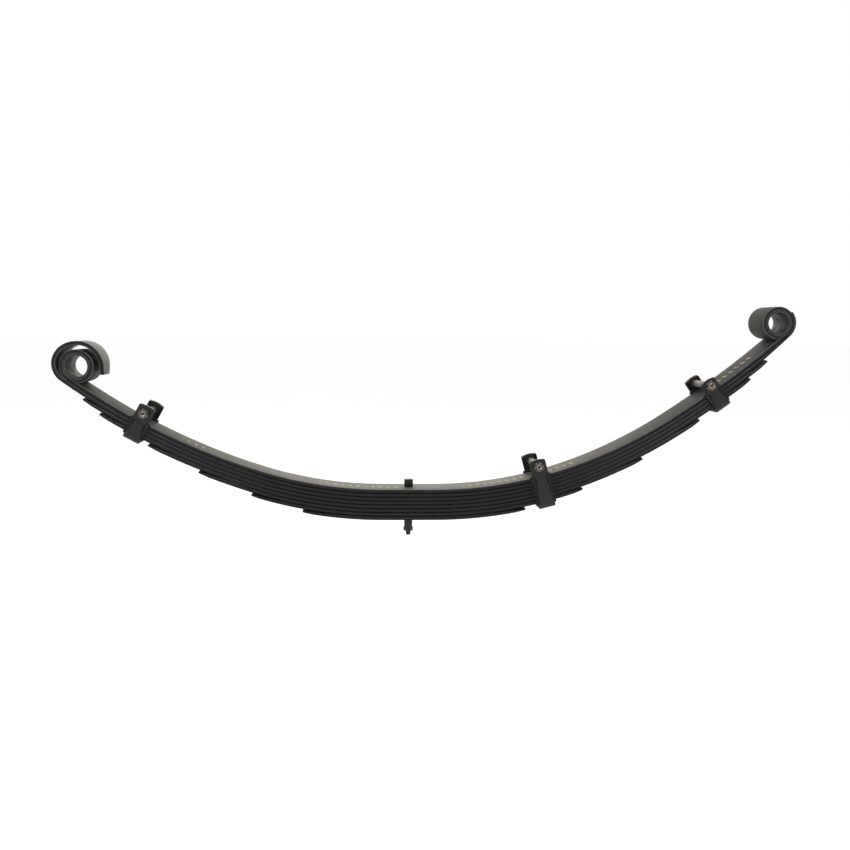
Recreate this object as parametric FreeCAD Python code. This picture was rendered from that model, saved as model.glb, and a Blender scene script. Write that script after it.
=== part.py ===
"""Multi-leaf suspension spring with upturned eyes, wrapper ends and three rebound clamps.

Frame: X runs along the spring, Y across the leaves, +Z up. The origin is on the top of the
main leaf, on the axis of the centre bolt. Everything is in millimetres.
"""

import FreeCAD, Part
import math
import os

# --- driving dimensions -------------------------------------------------------------------
LEAF_WIDTH = 63.5
LEAF_PITCH = 6.0            # centre to centre distance of two stacked leaves
LEAF_THICKNESS = 5.92       # the rest of the pitch is the scale gap between two leaves
EYE_RADIUS = 19.6           # bore of both eyes
EYE_SLIT = 1.2              # gap left where the rolled eye closes on the leaf
LEAF_COUNT = 8
SLEEVE_RADIUS = 16.3        # bore of the steel sleeve pressed into each eye
SLEEVE_CHAMFER = 0.8
PRESS_GAP = 0.05            # keeps pressed and threaded parts apart

# camber of the main leaf's top, from the centre outwards: (radius or None for flat, length)
CAMBER = {
    -1: [(None, 40.0), (636.0, 195.0), (1008.0, 500.0)],
    +1: [(None, 40.0), (641.0, 212.0), (746.0, 180.0), (1506.0, 500.0)],
}
EYE_X = {-1: 513.6, +1: 589.4}          # where the leaf's top runs into the bore, along X
TIP_X = {                                # tip of each lower leaf, along X
    3: {-1: 495.0, +1: 563.0},
    4: {-1: 471.0, +1: 537.0},
    5: {-1: 399.5, +1: 457.5},
    6: {-1: 324.0, +1: 368.0},
    7: {-1: 244.0, +1: 273.5},
    8: {-1: 165.5, +1: 183.0},
}
TIP_THICKNESS = 3.4
TIP_TAPER = 50.0
TIP_TRIM_LENGTH = 16.0
TIP_TRIM_WIDTH = 5.0
PAD_SETBACK = 16.0          # the tip pad stops this far short of the leaf's tip
PAD_LENGTH = 26.0
PAD_GAP = 0.05

# left wrapper of the second leaf: a loose loop round the eye
LOOP_RADIUS = 38.0          # outside, about the eye's centre
LOOP_JOIN = math.radians(40.0)
LOOP_TAIL = 13.0
LOOP_END_WIDTH = 39.0
# right wrapper: thin and close to the eye
WRAP_THICKNESS = 2.2
WRAP_TAPER = 90.0
WRAP_END = math.radians(40.0)

BOLT_RADIUS = 4.0           # M8 centre bolt and clamp bolts
HOLE_RADIUS = 4.3
HEAD_RADIUS = 7.0
HEAD_HEIGHT = 12.0
COLLAR_RADIUS = 6.5
COLLAR_HEIGHT = 15.0
NUT_FLATS = 13.0
NUT_HEIGHT = 7.0
BOLT_END = 6.6
BOLT_CHAMFER = 0.8
HEX_CHAMFER = 0.6

STRAP_WIDTH = 25.4
STRAP_THICKNESS = 5.0
STRAP_BEND = 8.0            # outside radius at the foot of the strap
EAR_CROWN = 4.0             # height of the arc on top of each ear
LINER_WIDTH = 32.0
LINER_THICKNESS = 3.0
LINER_LIP = 3.0             # how far the liner stands above the main leaf
LINER_FILLET = 0.8          # inside radius at the foot of the liner
CLAMP_GAP = 0.3             # leaf to liner, and liner to strap
SPACER_RADIUS = 5.6
WASHER_RADIUS = 8.0
WASHER_HEIGHT = 1.6
CLAMP_NUT_HEIGHT = 6.5
CLAMP_HEAD_HEIGHT = 5.3
CLAMP_BOLT_END = 2.0
RIVET_RADIUS = 3.0
RIVET_HEAD_RADIUS = 6.0
RIVET_HEAD_HEIGHT = 3.2
RIVET_DEPTH = 5.0           # how far the rivet reaches into the lowest wrapped leaf

# clamp: side, distance along X, leaves held, ear height and bolt height above the main leaf
CLAMPS = {
    "left_clamp": (-1, 408.0, 4, 27.0, 14.0),
    "middle_clamp": (+1, 203.5, 7, 28.0, 16.8),
    "right_clamp": (+1, 473.0, 4, 21.0, 11.0),
}

HALF_WIDTH = LEAF_WIDTH / 2
Y_AXIS = FreeCAD.Vector(0, 1, 0)
Z_AXIS = FreeCAD.Vector(0, 0, 1)
ORIGIN = FreeCAD.Vector(0, 0, 0)


# --- plane geometry of one side: x outwards, z up -----------------------------------------
def along(side, s, depth=0.0):
    """Point and slope at arc length s of the main leaf's top, moved down by depth."""
    x = z = angle = 0.0
    left = s
    for radius, length in CAMBER[side]:
        step = min(left, length)
        if radius is None:
            x += step * math.cos(angle)
            z += step * math.sin(angle)
        else:
            turned = angle + step / radius
            x += radius * (math.sin(turned) - math.sin(angle))
            z += radius * (math.cos(angle) - math.cos(turned))
            angle = turned
        left -= step
    return x + depth * math.sin(angle), z - depth * math.cos(angle), angle


def length_at(side, x, depth=0.0):
    """Arc length at which the curve at this depth reaches x."""
    low, high = 0.0, 900.0
    for _ in range(60):
        middle = (low + high) / 2
        if along(side, middle, depth)[0] < x:
            low = middle
        else:
            high = middle
    return (low + high) / 2


def place(side, x, z, y=0.0):
    """A point of one side's plane in the part's frame."""
    return FreeCAD.Vector(side * x, y, z)


def line(a, b):
    return Part.LineSegment(a, b).toShape()


def arc(a, middle, b):
    return Part.Arc(a, middle, b).toShape()


def arc_about(side, centre, radius, start, end):
    """Arc about a point of the side's plane, between two angles from its outward direction."""
    points = []
    for angle in (start, (start + end) / 2, end):
        x = centre[0] + radius * math.cos(angle)
        z = centre[1] + radius * math.sin(angle)
        points.append(place(side, x, z))
    return arc(*points)


def camber_edges(side, start, end, depth):
    """The leaf curve at one depth, from arc length start to end, as a chain of edges."""
    stops = [start]
    total = 0.0
    for _, length in CAMBER[side]:
        total += length
        if start < total < end:
            stops.append(total)
    stops.append(end)
    edges = []
    for a, b in zip(stops, stops[1:]):
        points = [place(side, *along(side, s, depth)[:2]) for s in (a, (a + b) / 2, b)]
        flat = (a + b) / 2 < CAMBER[side][0][1]
        edges.append(line(points[0], points[2]) if flat else arc(*points))
    return edges


def solid_across(edges, width):
    """Extrudes a closed outline of the XZ plane over a width centred on Y = 0."""
    wire = Part.Wire(Part.__sortEdges__(edges))
    face = Part.Face(wire)
    body = face.extrude(Y_AXIS * width)
    body.translate(Y_AXIS * (-width / 2))
    return body


def ends(side, s, upper, lower):
    """The two points of a square cut through a leaf at arc length s."""
    top = along(side, s, upper)
    bottom = along(side, s, lower)
    return place(side, *top[:2]), place(side, *bottom[:2])


# --- leaves ---------------------------------------------------------------------------------
def eye_centre(side):
    s = length_at(side, EYE_X[side])
    x, z, angle = along(side, s)
    return s, angle, (x - EYE_RADIUS * math.sin(angle), z + EYE_RADIUS * math.cos(angle))


def eye_ring(side):
    """The rolled eye: a ring opened where its end comes down on the leaf."""
    s, angle, centre = eye_centre(side)
    outer = EYE_RADIUS + LEAF_THICKNESS
    middle = place(side, *centre, -HALF_WIDTH)
    ring = Part.makeCylinder(outer, LEAF_WIDTH, middle, Y_AXIS)
    ring = ring.cut(Part.makeCylinder(EYE_RADIUS, LEAF_WIDTH, middle, Y_AXIS))
    foot = along(side, s)
    inward = (-math.cos(angle), -math.sin(angle))
    normal = (-math.sin(angle), math.cos(angle))
    corners = []
    for run, rise in ((0, -outer), (2 * outer, -outer), (2 * outer, EYE_SLIT), (0, EYE_SLIT)):
        x = foot[0] + run * inward[0] + rise * normal[0]
        z = foot[1] + run * inward[1] + rise * normal[1]
        corners.append(place(side, x, z))
    outline = [line(a, b) for a, b in zip(corners, corners[1:] + corners[:1])]
    return ring.cut(solid_across(outline, LEAF_WIDTH + 2))


def eye_sleeve(side):
    """The thin steel sleeve that lines an eye, with a lead-in at both ends."""
    centre = eye_centre(side)[2]
    start = place(side, *centre, -HALF_WIDTH)
    sleeve = Part.makeCylinder(EYE_RADIUS - PRESS_GAP, LEAF_WIDTH, start, Y_AXIS)
    sleeve = sleeve.cut(Part.makeCylinder(SLEEVE_RADIUS, LEAF_WIDTH, start, Y_AXIS))
    for y, inward in ((-HALF_WIDTH, Y_AXIS), (HALF_WIDTH, -Y_AXIS)):
        mouth = Part.makeCone(SLEEVE_RADIUS + SLEEVE_CHAMFER, SLEEVE_RADIUS, SLEEVE_CHAMFER,
                              place(side, *centre, y), inward)
        sleeve = sleeve.cut(mouth)
    return sleeve


def main_leaf():
    left, right = (eye_centre(side)[0] for side in (-1, +1))
    top = camber_edges(-1, 0, left, 0) + camber_edges(+1, 0, right, 0)
    bottom = camber_edges(-1, 0, left, LEAF_THICKNESS)
    bottom += camber_edges(+1, 0, right, LEAF_THICKNESS)
    caps = [line(*ends(-1, left, 0, LEAF_THICKNESS)), line(*ends(+1, right, 0, LEAF_THICKNESS))]
    band = solid_across(top + bottom + caps, LEAF_WIDTH)
    return band.fuse([eye_ring(-1), eye_ring(+1)]).removeSplitter()


def loop_edges(side):
    """Outline of the loose loop, from the second leaf's end up and over the eye."""
    s, slope, centre = eye_centre(side)
    inner = LEAF_THICKNESS
    normal = (-math.sin(slope), math.cos(slope))
    join = (math.cos(LOOP_JOIN), math.sin(LOOP_JOIN))
    leaf_bottom = EYE_RADIUS + LEAF_PITCH + LEAF_THICKNESS
    lean = -(join[0] * normal[0] + join[1] * normal[1])
    root = (leaf_bottom - lean * LOOP_RADIUS) / (1 - lean)
    offset = LOOP_RADIUS - root
    low = (centre[0] + offset * join[0], centre[1] + offset * join[1])
    start = slope - math.pi / 2
    run = offset * (join[0] * math.cos(slope) + join[1] * math.sin(slope))
    top, bottom = ends(side, s, LEAF_PITCH, LEAF_PITCH + LEAF_THICKNESS)
    reach = (run * math.cos(slope), run * math.sin(slope))
    shift = place(side, *reach)
    edges = [line(top, top + shift), line(bottom, bottom + shift)]
    for radius_root, radius_crown in ((root, LOOP_RADIUS), (root - inner, LOOP_RADIUS - inner)):
        edges.append(arc_about(side, low, radius_root, start, LOOP_JOIN))
        edges.append(arc_about(side, centre, radius_crown, LOOP_JOIN, math.pi))
        x = centre[0] - radius_crown
        edges.append(line(place(side, x, centre[1]), place(side, x, centre[1] - LOOP_TAIL)))
    low_end = centre[1] - LOOP_TAIL
    outer_x, inner_x = centre[0] - LOOP_RADIUS, centre[0] - LOOP_RADIUS + inner
    edges.append(line(place(side, outer_x, low_end), place(side, inner_x, low_end)))
    return edges


def loop_trim(side):
    """Two wedges that narrow the loop towards its free end."""
    centre = eye_centre(side)[2]
    half_end = LOOP_END_WIDTH / 2
    top = centre[1] + LOOP_RADIUS
    low = centre[1] - LOOP_TAIL
    wedges = []
    for edge in (-1, +1):
        corners = [
            FreeCAD.Vector(0, edge * HALF_WIDTH, top + 2),
            FreeCAD.Vector(0, edge * half_end, low - 1),
            FreeCAD.Vector(0, edge * (HALF_WIDTH + 2), low - 1),
            FreeCAD.Vector(0, edge * (HALF_WIDTH + 2), top + 2),
        ]
        outline = Part.Wire([line(a, b) for a, b in zip(corners, corners[1:] + corners[:1])])
        wedge = Part.Face(outline).extrude(FreeCAD.Vector(-side * (LOOP_RADIUS + 2), 0, 0))
        wedge.translate(place(side, centre[0], 0))
        wedges.append(wedge)
    return wedges


def wrap_edges(side):
    """Outline of the close wrapper: the leaf thins out and follows the eye part of the way."""
    s, slope, centre = eye_centre(side)
    inner = EYE_RADIUS + LEAF_PITCH
    outer = inner + WRAP_THICKNESS
    start = slope - math.pi / 2
    s_taper = s - WRAP_TAPER
    corner = along(side, s_taper, LEAF_PITCH + LEAF_THICKNESS)
    across = (corner[0] - centre[0], corner[1] - centre[1])
    distance = math.hypot(*across)
    touch = math.atan2(across[1], across[0]) + math.acos(outer / distance)
    tangent = place(side, centre[0] + outer * math.cos(touch), centre[1] + outer * math.sin(touch))
    edges = camber_edges(side, s_taper, s, LEAF_PITCH)
    edges.append(line(place(side, *corner[:2]), tangent))
    edges.append(arc_about(side, centre, outer, touch, WRAP_END))
    edges.append(arc_about(side, centre, inner, start, WRAP_END))
    cap = []
    for radius in (inner, outer):
        x = centre[0] + radius * math.cos(WRAP_END)
        z = centre[1] + radius * math.sin(WRAP_END)
        cap.append(place(side, x, z))
    edges.append(line(*cap))
    return edges


def second_leaf():
    left = eye_centre(-1)[0]
    right = eye_centre(+1)[0] - WRAP_TAPER
    upper, lower = LEAF_PITCH, LEAF_PITCH + LEAF_THICKNESS
    edges = camber_edges(-1, 0, left, upper) + camber_edges(+1, 0, right, upper)
    edges += camber_edges(-1, 0, left, lower) + camber_edges(+1, 0, right, lower)
    leaf = solid_across(edges + loop_edges(-1) + wrap_edges(+1), LEAF_WIDTH)
    for wedge in loop_trim(-1):
        leaf = leaf.cut(wedge)
    return leaf


def tip_length(number, side):
    return length_at(side, TIP_X[number][side], number * LEAF_PITCH)


def tip_point(number, side, back, rise=0.0):
    """Point of the straight tapered top of a tip, back from its end and lifted by rise."""
    s = tip_length(number, side)
    upper = (number - 1) * LEAF_PITCH - rise
    start = along(side, s - TIP_TAPER, upper)
    end = along(side, s, upper + LEAF_THICKNESS - TIP_THICKNESS)
    share = back / TIP_TAPER
    x, z = (share * a + (1 - share) * b for a, b in zip(start[:2], end[:2]))
    return place(side, x, z)


def lower_leaf(number):
    """A plain leaf: its tips are tapered on top and trimmed at their corners."""
    upper = (number - 1) * LEAF_PITCH
    lower = upper + LEAF_THICKNESS
    edges = []
    for side in (-1, +1):
        s = tip_length(number, side)
        edges += camber_edges(side, 0, s - TIP_TAPER, upper)
        edges += camber_edges(side, 0, s, lower)
        tip = tip_point(number, side, 0)
        edges.append(line(tip_point(number, side, TIP_TAPER), tip))
        edges.append(line(tip, ends(side, s, upper, lower)[1]))
    leaf = solid_across(edges, LEAF_WIDTH)
    for side in (-1, +1):
        for trim in tip_trims(number, side):
            leaf = leaf.cut(trim)
    return leaf


def tip_trims(number, side):
    """Prisms that take the two corners off a tip."""
    s = tip_length(number, side)
    x, z, slope = along(side, s, number * LEAF_PITCH)
    prisms = []
    for edge in (-1, +1):
        corners = [
            FreeCAD.Vector(-TIP_TRIM_LENGTH, edge * HALF_WIDTH, 0),
            FreeCAD.Vector(1, edge * (HALF_WIDTH - TIP_TRIM_WIDTH), 0),
            FreeCAD.Vector(1, edge * (HALF_WIDTH + 1), 0),
            FreeCAD.Vector(-TIP_TRIM_LENGTH, edge * (HALF_WIDTH + 1), 0),
        ]
        outline = Part.Wire([line(a, b) for a, b in zip(corners, corners[1:] + corners[:1])])
        prism = Part.Face(outline).extrude(Z_AXIS * 2 * LEAF_PITCH)
        prism.translate(Z_AXIS * -LEAF_PITCH / 2)
        prism.rotate(ORIGIN, Y_AXIS, -math.degrees(slope))
        if side < 0:
            prism.rotate(ORIGIN, Z_AXIS, 180)
        prism.translate(place(side, x, z))
        prisms.append(prism)
    return prisms


def tip_pad(number, side):
    """The wedge-shaped pad between a tapered tip and the leaf above."""
    upper = (number - 1) * LEAF_PITCH
    s = tip_length(number, side)
    start, end = PAD_SETBACK + PAD_LENGTH, PAD_SETBACK
    corners = [tip_point(number, side, start, PAD_GAP), tip_point(number, side, end, PAD_GAP)]
    edges = camber_edges(side, s - start, s - end, upper)
    edges.append(line(corners[0], place(side, *along(side, s - start, upper)[:2])))
    edges.append(line(corners[1], place(side, *along(side, s - end, upper)[:2])))
    edges.append(line(*corners))
    return solid_across(edges, LEAF_WIDTH - 2 * TIP_TRIM_WIDTH)


# --- fasteners ------------------------------------------------------------------------------
def rod(radius, low, high):
    """A round bar on the Z axis with a chamfer at its upper end."""
    bar = Part.makeCylinder(radius, high - low - BOLT_CHAMFER, FreeCAD.Vector(0, 0, low))
    tip = Part.makeCone(radius, radius - BOLT_CHAMFER, BOLT_CHAMFER,
                        FreeCAD.Vector(0, 0, high - BOLT_CHAMFER))
    return bar.fuse(tip).removeSplitter()


def tube(outer, inner, low, high):
    base = FreeCAD.Vector(0, 0, low)
    shell = Part.makeCylinder(outer, high - low, base)
    return shell.cut(Part.makeCylinder(inner, high - low, base))


def hexagon(flats, low, high):
    """A hexagonal prism whose corners are chamfered at both ends."""
    corner = flats / math.sqrt(3)
    points = [FreeCAD.Vector(corner * math.cos(math.radians(60 * k)),
                             corner * math.sin(math.radians(60 * k)), low) for k in range(6)]
    outline = Part.Wire([line(a, b) for a, b in zip(points, points[1:] + points[:1])])
    prism = Part.Face(outline).extrude(Z_AXIS * (high - low))
    narrow, wide = flats / 2, flats / 2 + 2 * HEX_CHAMFER
    blank = Part.makeCylinder(wide, high - low - 2 * HEX_CHAMFER,
                              FreeCAD.Vector(0, 0, low + HEX_CHAMFER))
    blank = blank.fuse([
        Part.makeCone(narrow, wide, HEX_CHAMFER, FreeCAD.Vector(0, 0, low)),
        Part.makeCone(wide, narrow, HEX_CHAMFER, FreeCAD.Vector(0, 0, high - HEX_CHAMFER)),
    ])
    return prism.common(blank)


def turned_down(shape):
    """The same fastener pointing down."""
    shape.rotate(ORIGIN, FreeCAD.Vector(1, 0, 0), 180)
    return shape


def centre_bolt_parts():
    stack = (LEAF_COUNT - 1) * LEAF_PITCH + LEAF_THICKNESS
    collar_end = stack + COLLAR_HEIGHT
    nut_end = collar_end + NUT_HEIGHT
    head = rod(HEAD_RADIUS, 0, HEAD_HEIGHT)
    shank = turned_down(rod(BOLT_RADIUS, -1, nut_end + BOLT_END))
    collar = turned_down(tube(COLLAR_RADIUS, HOLE_RADIUS, stack, collar_end))
    nut = hexagon(NUT_FLATS, collar_end, nut_end)
    nut = nut.cut(Part.makeCylinder(BOLT_RADIUS + PRESS_GAP, 2 * nut_end))
    return {
        "centre_bolt": head.fuse(shank).removeSplitter(),
        "centre_bolt_collar": collar,
        "centre_bolt_nut": turned_down(nut),
    }


# --- rebound clamps: u along the leaf, Y across, w up from the main leaf's top ---------------
def u_bend(inner_half, thickness, bend, foot, top, width):
    """A U-shaped strap of constant thickness, open at the top."""
    def outline(half, low, radius):
        corners = [(-half, top), (-half, low + radius), (-half + radius, low),
                   (half - radius, low), (half, low + radius), (half, top)]
        points = [FreeCAD.Vector(0, y, z) for y, z in corners]
        reach = radius * (1 - math.sqrt(0.5))
        left = FreeCAD.Vector(0, -half + reach, low + reach)
        right = FreeCAD.Vector(0, half - reach, low + reach)
        edges = [line(points[0], points[1]), arc(points[1], left, points[2]),
                 line(points[2], points[3]), arc(points[3], right, points[4]),
                 line(points[4], points[5]), line(points[5], points[0])]
        return Part.Face(Part.Wire(edges)).extrude(FreeCAD.Vector(width, 0, 0))

    outer = outline(inner_half + thickness, foot - thickness, bend)
    inner = outline(inner_half, foot, bend - thickness)
    strap = outer.cut(inner)
    strap.translate(FreeCAD.Vector(-width / 2, 0, 0))
    return strap


def ear_outline(ear, low, reach):
    """Prism across the spring that gives both ears their arched top."""
    half = STRAP_WIDTH / 2
    shoulder = ear - EAR_CROWN
    points = [FreeCAD.Vector(-half, -reach, low), FreeCAD.Vector(-half, -reach, shoulder),
              FreeCAD.Vector(0, -reach, ear), FreeCAD.Vector(half, -reach, shoulder),
              FreeCAD.Vector(half, -reach, low)]
    edges = [line(points[0], points[1]), arc(points[1], points[2], points[3]),
             line(points[3], points[4]), line(points[4], points[0])]
    return Part.Face(Part.Wire(edges)).extrude(Y_AXIS * 2 * reach)


def lay_across(shape, height):
    """Turns a part made along Z so that it points to -Y at the bolt's height."""
    shape.rotate(ORIGIN, FreeCAD.Vector(1, 0, 0), 90)
    shape.translate(FreeCAD.Vector(0, 0, height))
    return shape


def clamp_parts(name):
    side, distance, held, ear, bolt_height = CLAMPS[name]
    under = -((held - 1) * LEAF_PITCH + LEAF_THICKNESS) - CLAMP_GAP
    liner_half = HALF_WIDTH + CLAMP_GAP
    strap_half = liner_half + LINER_THICKNESS + CLAMP_GAP
    strap_foot = under - LINER_THICKNESS - CLAMP_GAP
    outside = strap_half + STRAP_THICKNESS
    strap_low = strap_foot - STRAP_THICKNESS

    liner = u_bend(liner_half, LINER_THICKNESS, LINER_THICKNESS + LINER_FILLET, under,
                   LINER_LIP, LINER_WIDTH)
    strap = u_bend(strap_half, STRAP_THICKNESS, STRAP_BEND, strap_foot, ear, STRAP_WIDTH)
    strap = strap.common(ear_outline(ear, strap_low - 1, outside + 1))
    strap = strap.cut(lay_across(Part.makeCylinder(HOLE_RADIUS, 2 * outside + 2,
                                                   FreeCAD.Vector(0, 0, -outside - 1)), bolt_height))
    rivet_hole = Part.makeCylinder(RIVET_RADIUS + PRESS_GAP, LEAF_WIDTH,
                                   FreeCAD.Vector(0, 0, strap_low - 1))
    strap = strap.cut(rivet_hole)
    liner = liner.cut(rivet_hole)

    nut_top = outside + WASHER_HEIGHT + CLAMP_NUT_HEIGHT
    bolt = rod(BOLT_RADIUS, -outside, nut_top + CLAMP_BOLT_END)
    head = hexagon(NUT_FLATS, -outside - CLAMP_HEAD_HEIGHT, -outside)
    nut = hexagon(NUT_FLATS, outside + WASHER_HEIGHT, nut_top)
    nut = nut.cut(Part.makeCylinder(BOLT_RADIUS + PRESS_GAP, 2 * nut_top))
    washer = tube(WASHER_RADIUS, HOLE_RADIUS, outside, outside + WASHER_HEIGHT)
    spacer_half = strap_half - CLAMP_GAP / 2
    spacer = tube(SPACER_RADIUS, HOLE_RADIUS, -spacer_half, spacer_half)

    rivet = Part.makeCylinder(RIVET_RADIUS, under + RIVET_DEPTH - strap_low,
                              FreeCAD.Vector(0, 0, strap_low))
    ball = (RIVET_HEAD_RADIUS ** 2 + RIVET_HEAD_HEIGHT ** 2) / (2 * RIVET_HEAD_HEIGHT)
    dome = Part.makeSphere(ball, FreeCAD.Vector(0, 0, strap_low - RIVET_HEAD_HEIGHT + ball))
    dome = dome.common(Part.makeCylinder(ball, RIVET_HEAD_HEIGHT + 1,
                                         FreeCAD.Vector(0, 0, strap_low - RIVET_HEAD_HEIGHT - 1)))
    parts = {
        "strap": strap,
        "liner": liner,
        "bolt": lay_across(bolt.fuse(head).removeSplitter(), bolt_height),
        "nut": lay_across(nut, bolt_height),
        "washer": lay_across(washer, bolt_height),
        "spacer": lay_across(spacer, bolt_height),
        "rivet": rivet.fuse(dome).removeSplitter(),
    }
    x, z, slope = along(side, length_at(side, distance))
    for shape in parts.values():
        shape.rotate(ORIGIN, Y_AXIS, -side * math.degrees(slope))
        shape.translate(place(side, x, z))
    return {f"{name}_{piece}": shape for piece, shape in parts.items()}


def rivet_socket(name):
    """The hole in the lowest held leaf that takes the clamp's rivet."""
    side, distance, held, _, _ = CLAMPS[name]
    low = -held * LEAF_PITCH - 1
    hole = Part.makeCylinder(RIVET_RADIUS + PRESS_GAP, LEAF_PITCH + 1 - 0.2,
                             FreeCAD.Vector(0, 0, low))
    x, z, slope = along(side, length_at(side, distance))
    hole.rotate(ORIGIN, Y_AXIS, -side * math.degrees(slope))
    hole.translate(place(side, x, z))
    return hole


def build():
    """All pieces of the spring by node name."""
    parts = {"main_leaf": main_leaf(), "second_leaf": second_leaf()}
    for number in TIP_X:
        parts[f"leaf_{number}"] = lower_leaf(number)
    bolt_hole = Part.makeCylinder(HOLE_RADIUS, 20 * LEAF_PITCH,
                                  FreeCAD.Vector(0, 0, -15 * LEAF_PITCH))
    for node in list(parts):
        parts[node] = parts[node].cut(bolt_hole)
    for name, (_, _, held, _, _) in CLAMPS.items():
        node = f"leaf_{held}"
        parts[node] = parts[node].cut(rivet_socket(name))
    for side, word in ((-1, "left"), (+1, "right")):
        parts[f"{word}_eye_sleeve"] = eye_sleeve(side)
        for number in TIP_X:
            parts[f"{word}_tip_pad_{number}"] = tip_pad(number, side)
    parts.update(centre_bolt_parts())
    for name in CLAMPS:
        parts.update(clamp_parts(name))
    return parts


def main():
    os.makedirs("parts", exist_ok=True)
    for node, shape in build().items():
        solids = shape.Solids
        if len(solids) != 1 or not shape.isValid():
            raise ValueError(f"{node}: {len(solids)} solids, valid {shape.isValid()}")
        solids[0].exportStep(f"parts/{node}.step")
        box = shape.BoundBox
        print(f"{node:24s} {shape.Volume / 1000:8.2f} cm3  x {box.XMin:8.1f} {box.XMax:8.1f}"
              f"  z {box.ZMin:7.1f} {box.ZMax:7.1f}")


main()
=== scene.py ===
"""Visual model of a multi-leaf spring: leaves, tip pads, centre bolt and three rebound clamps.

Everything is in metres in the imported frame: X runs along the spring, Y across the leaves, Z up,
with the origin on the main leaf's top at the centre bolt. Each side of the spring also has a
plane of its own, with x outwards and z up. Depth is measured down from the main leaf's top.
"""

import logging
import math
from collections.abc import Callable, Iterable
from dataclasses import dataclass, field
from enum import Enum

import bmesh
import bpy
from mathutils import Matrix, Vector
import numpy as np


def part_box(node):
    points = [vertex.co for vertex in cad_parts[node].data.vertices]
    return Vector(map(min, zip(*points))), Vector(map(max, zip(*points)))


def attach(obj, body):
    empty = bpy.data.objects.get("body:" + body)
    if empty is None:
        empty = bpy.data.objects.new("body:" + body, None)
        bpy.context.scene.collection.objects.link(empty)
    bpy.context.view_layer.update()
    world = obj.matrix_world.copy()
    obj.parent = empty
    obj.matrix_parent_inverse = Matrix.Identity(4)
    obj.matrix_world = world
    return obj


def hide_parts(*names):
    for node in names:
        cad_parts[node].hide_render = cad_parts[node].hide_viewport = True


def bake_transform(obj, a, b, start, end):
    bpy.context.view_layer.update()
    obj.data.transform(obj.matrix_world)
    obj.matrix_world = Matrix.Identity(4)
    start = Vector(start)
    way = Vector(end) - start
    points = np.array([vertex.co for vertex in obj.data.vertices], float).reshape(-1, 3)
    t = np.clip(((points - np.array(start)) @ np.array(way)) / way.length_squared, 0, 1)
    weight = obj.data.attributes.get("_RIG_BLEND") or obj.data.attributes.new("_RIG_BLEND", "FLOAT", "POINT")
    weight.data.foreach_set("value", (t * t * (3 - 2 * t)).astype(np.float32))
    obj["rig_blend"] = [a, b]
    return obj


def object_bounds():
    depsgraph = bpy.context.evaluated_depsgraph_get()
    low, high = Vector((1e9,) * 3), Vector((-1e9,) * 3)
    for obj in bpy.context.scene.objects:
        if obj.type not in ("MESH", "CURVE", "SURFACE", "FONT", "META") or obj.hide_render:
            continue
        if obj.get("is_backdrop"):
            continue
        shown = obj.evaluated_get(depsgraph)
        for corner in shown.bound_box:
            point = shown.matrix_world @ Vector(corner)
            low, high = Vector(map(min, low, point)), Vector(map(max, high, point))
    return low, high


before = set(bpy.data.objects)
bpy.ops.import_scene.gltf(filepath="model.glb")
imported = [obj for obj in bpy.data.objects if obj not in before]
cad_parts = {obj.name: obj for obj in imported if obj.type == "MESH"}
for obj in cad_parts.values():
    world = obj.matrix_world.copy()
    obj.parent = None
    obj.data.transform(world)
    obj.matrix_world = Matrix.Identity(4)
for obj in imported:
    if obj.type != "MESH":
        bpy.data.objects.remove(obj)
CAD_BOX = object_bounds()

log = logging.getLogger("leaf_spring")

Colour = tuple[float, float, float, float]
Point = tuple[float, float, float]
Pair = tuple[float, float]
Run = tuple[float | None, float]    # a radius, or None for a straight run, and a length
Mesh = bmesh.types.BMesh
Piece = bpy.types.Object
PLACE = "leaf_place"    # attribute: a point's place in its straight bar
WEAR = "edge_wear"      # attribute: how exposed an edge is, from zero to one
TINY = 1e-6             # points closer than this are one point
HALVINGS = 50           # steps of a search by halving
SHARP = 0.6             # an edge stays sharp where its faces turn by more than this
MILLIMETRES = 1000      # in a metre


class Side(Enum):
    """The two ends of the spring, by the sign of X."""

    LEFT = -1
    RIGHT = 1


class Joint(Enum):
    """Where a piece bends: the two bodies and the X range over which it turns."""

    LEFT = ("pack", "left_end", -0.06, -0.385)
    INNER = ("pack", "right_middle", 0.05, 0.18)
    OUTER = ("right_middle", "right_end", 0.23, 0.45)


class Slot(Enum):
    """The record's material slots."""

    MAIN_LEAF = "main_leaf_paint"
    LEAF = "leaf_paint"
    PAD = "tip_pad"
    CLAMP = "clamp_paint"
    LINER = "liner"
    SPACER = "spacer_zinc"
    CLAMP_BOLT = "clamp_bolt_zinc"
    CENTRE_BOLT = "centre_bolt_steel"
    SLEEVE = "eye_sleeve"


# --- shader graphs ----------------------------------------------------------------------------
def operator(kind: str, other_first: bool = False) -> Callable[..., "Signal"]:
    """Makes a method that puts a signal, and another value if there is one, through a Math node.

    Args:
        kind: what the node does.
        other_first: whether the other value comes first, as in a reflected form.

    Returns:
        The method.
    """

    def method(signal: "Signal", *other: "Signal | float") -> "Signal":
        """The node's result."""
        values = (*other, signal) if other_first else (signal, *other)
        return signal.graph.math(kind, *values)

    return method


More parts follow.
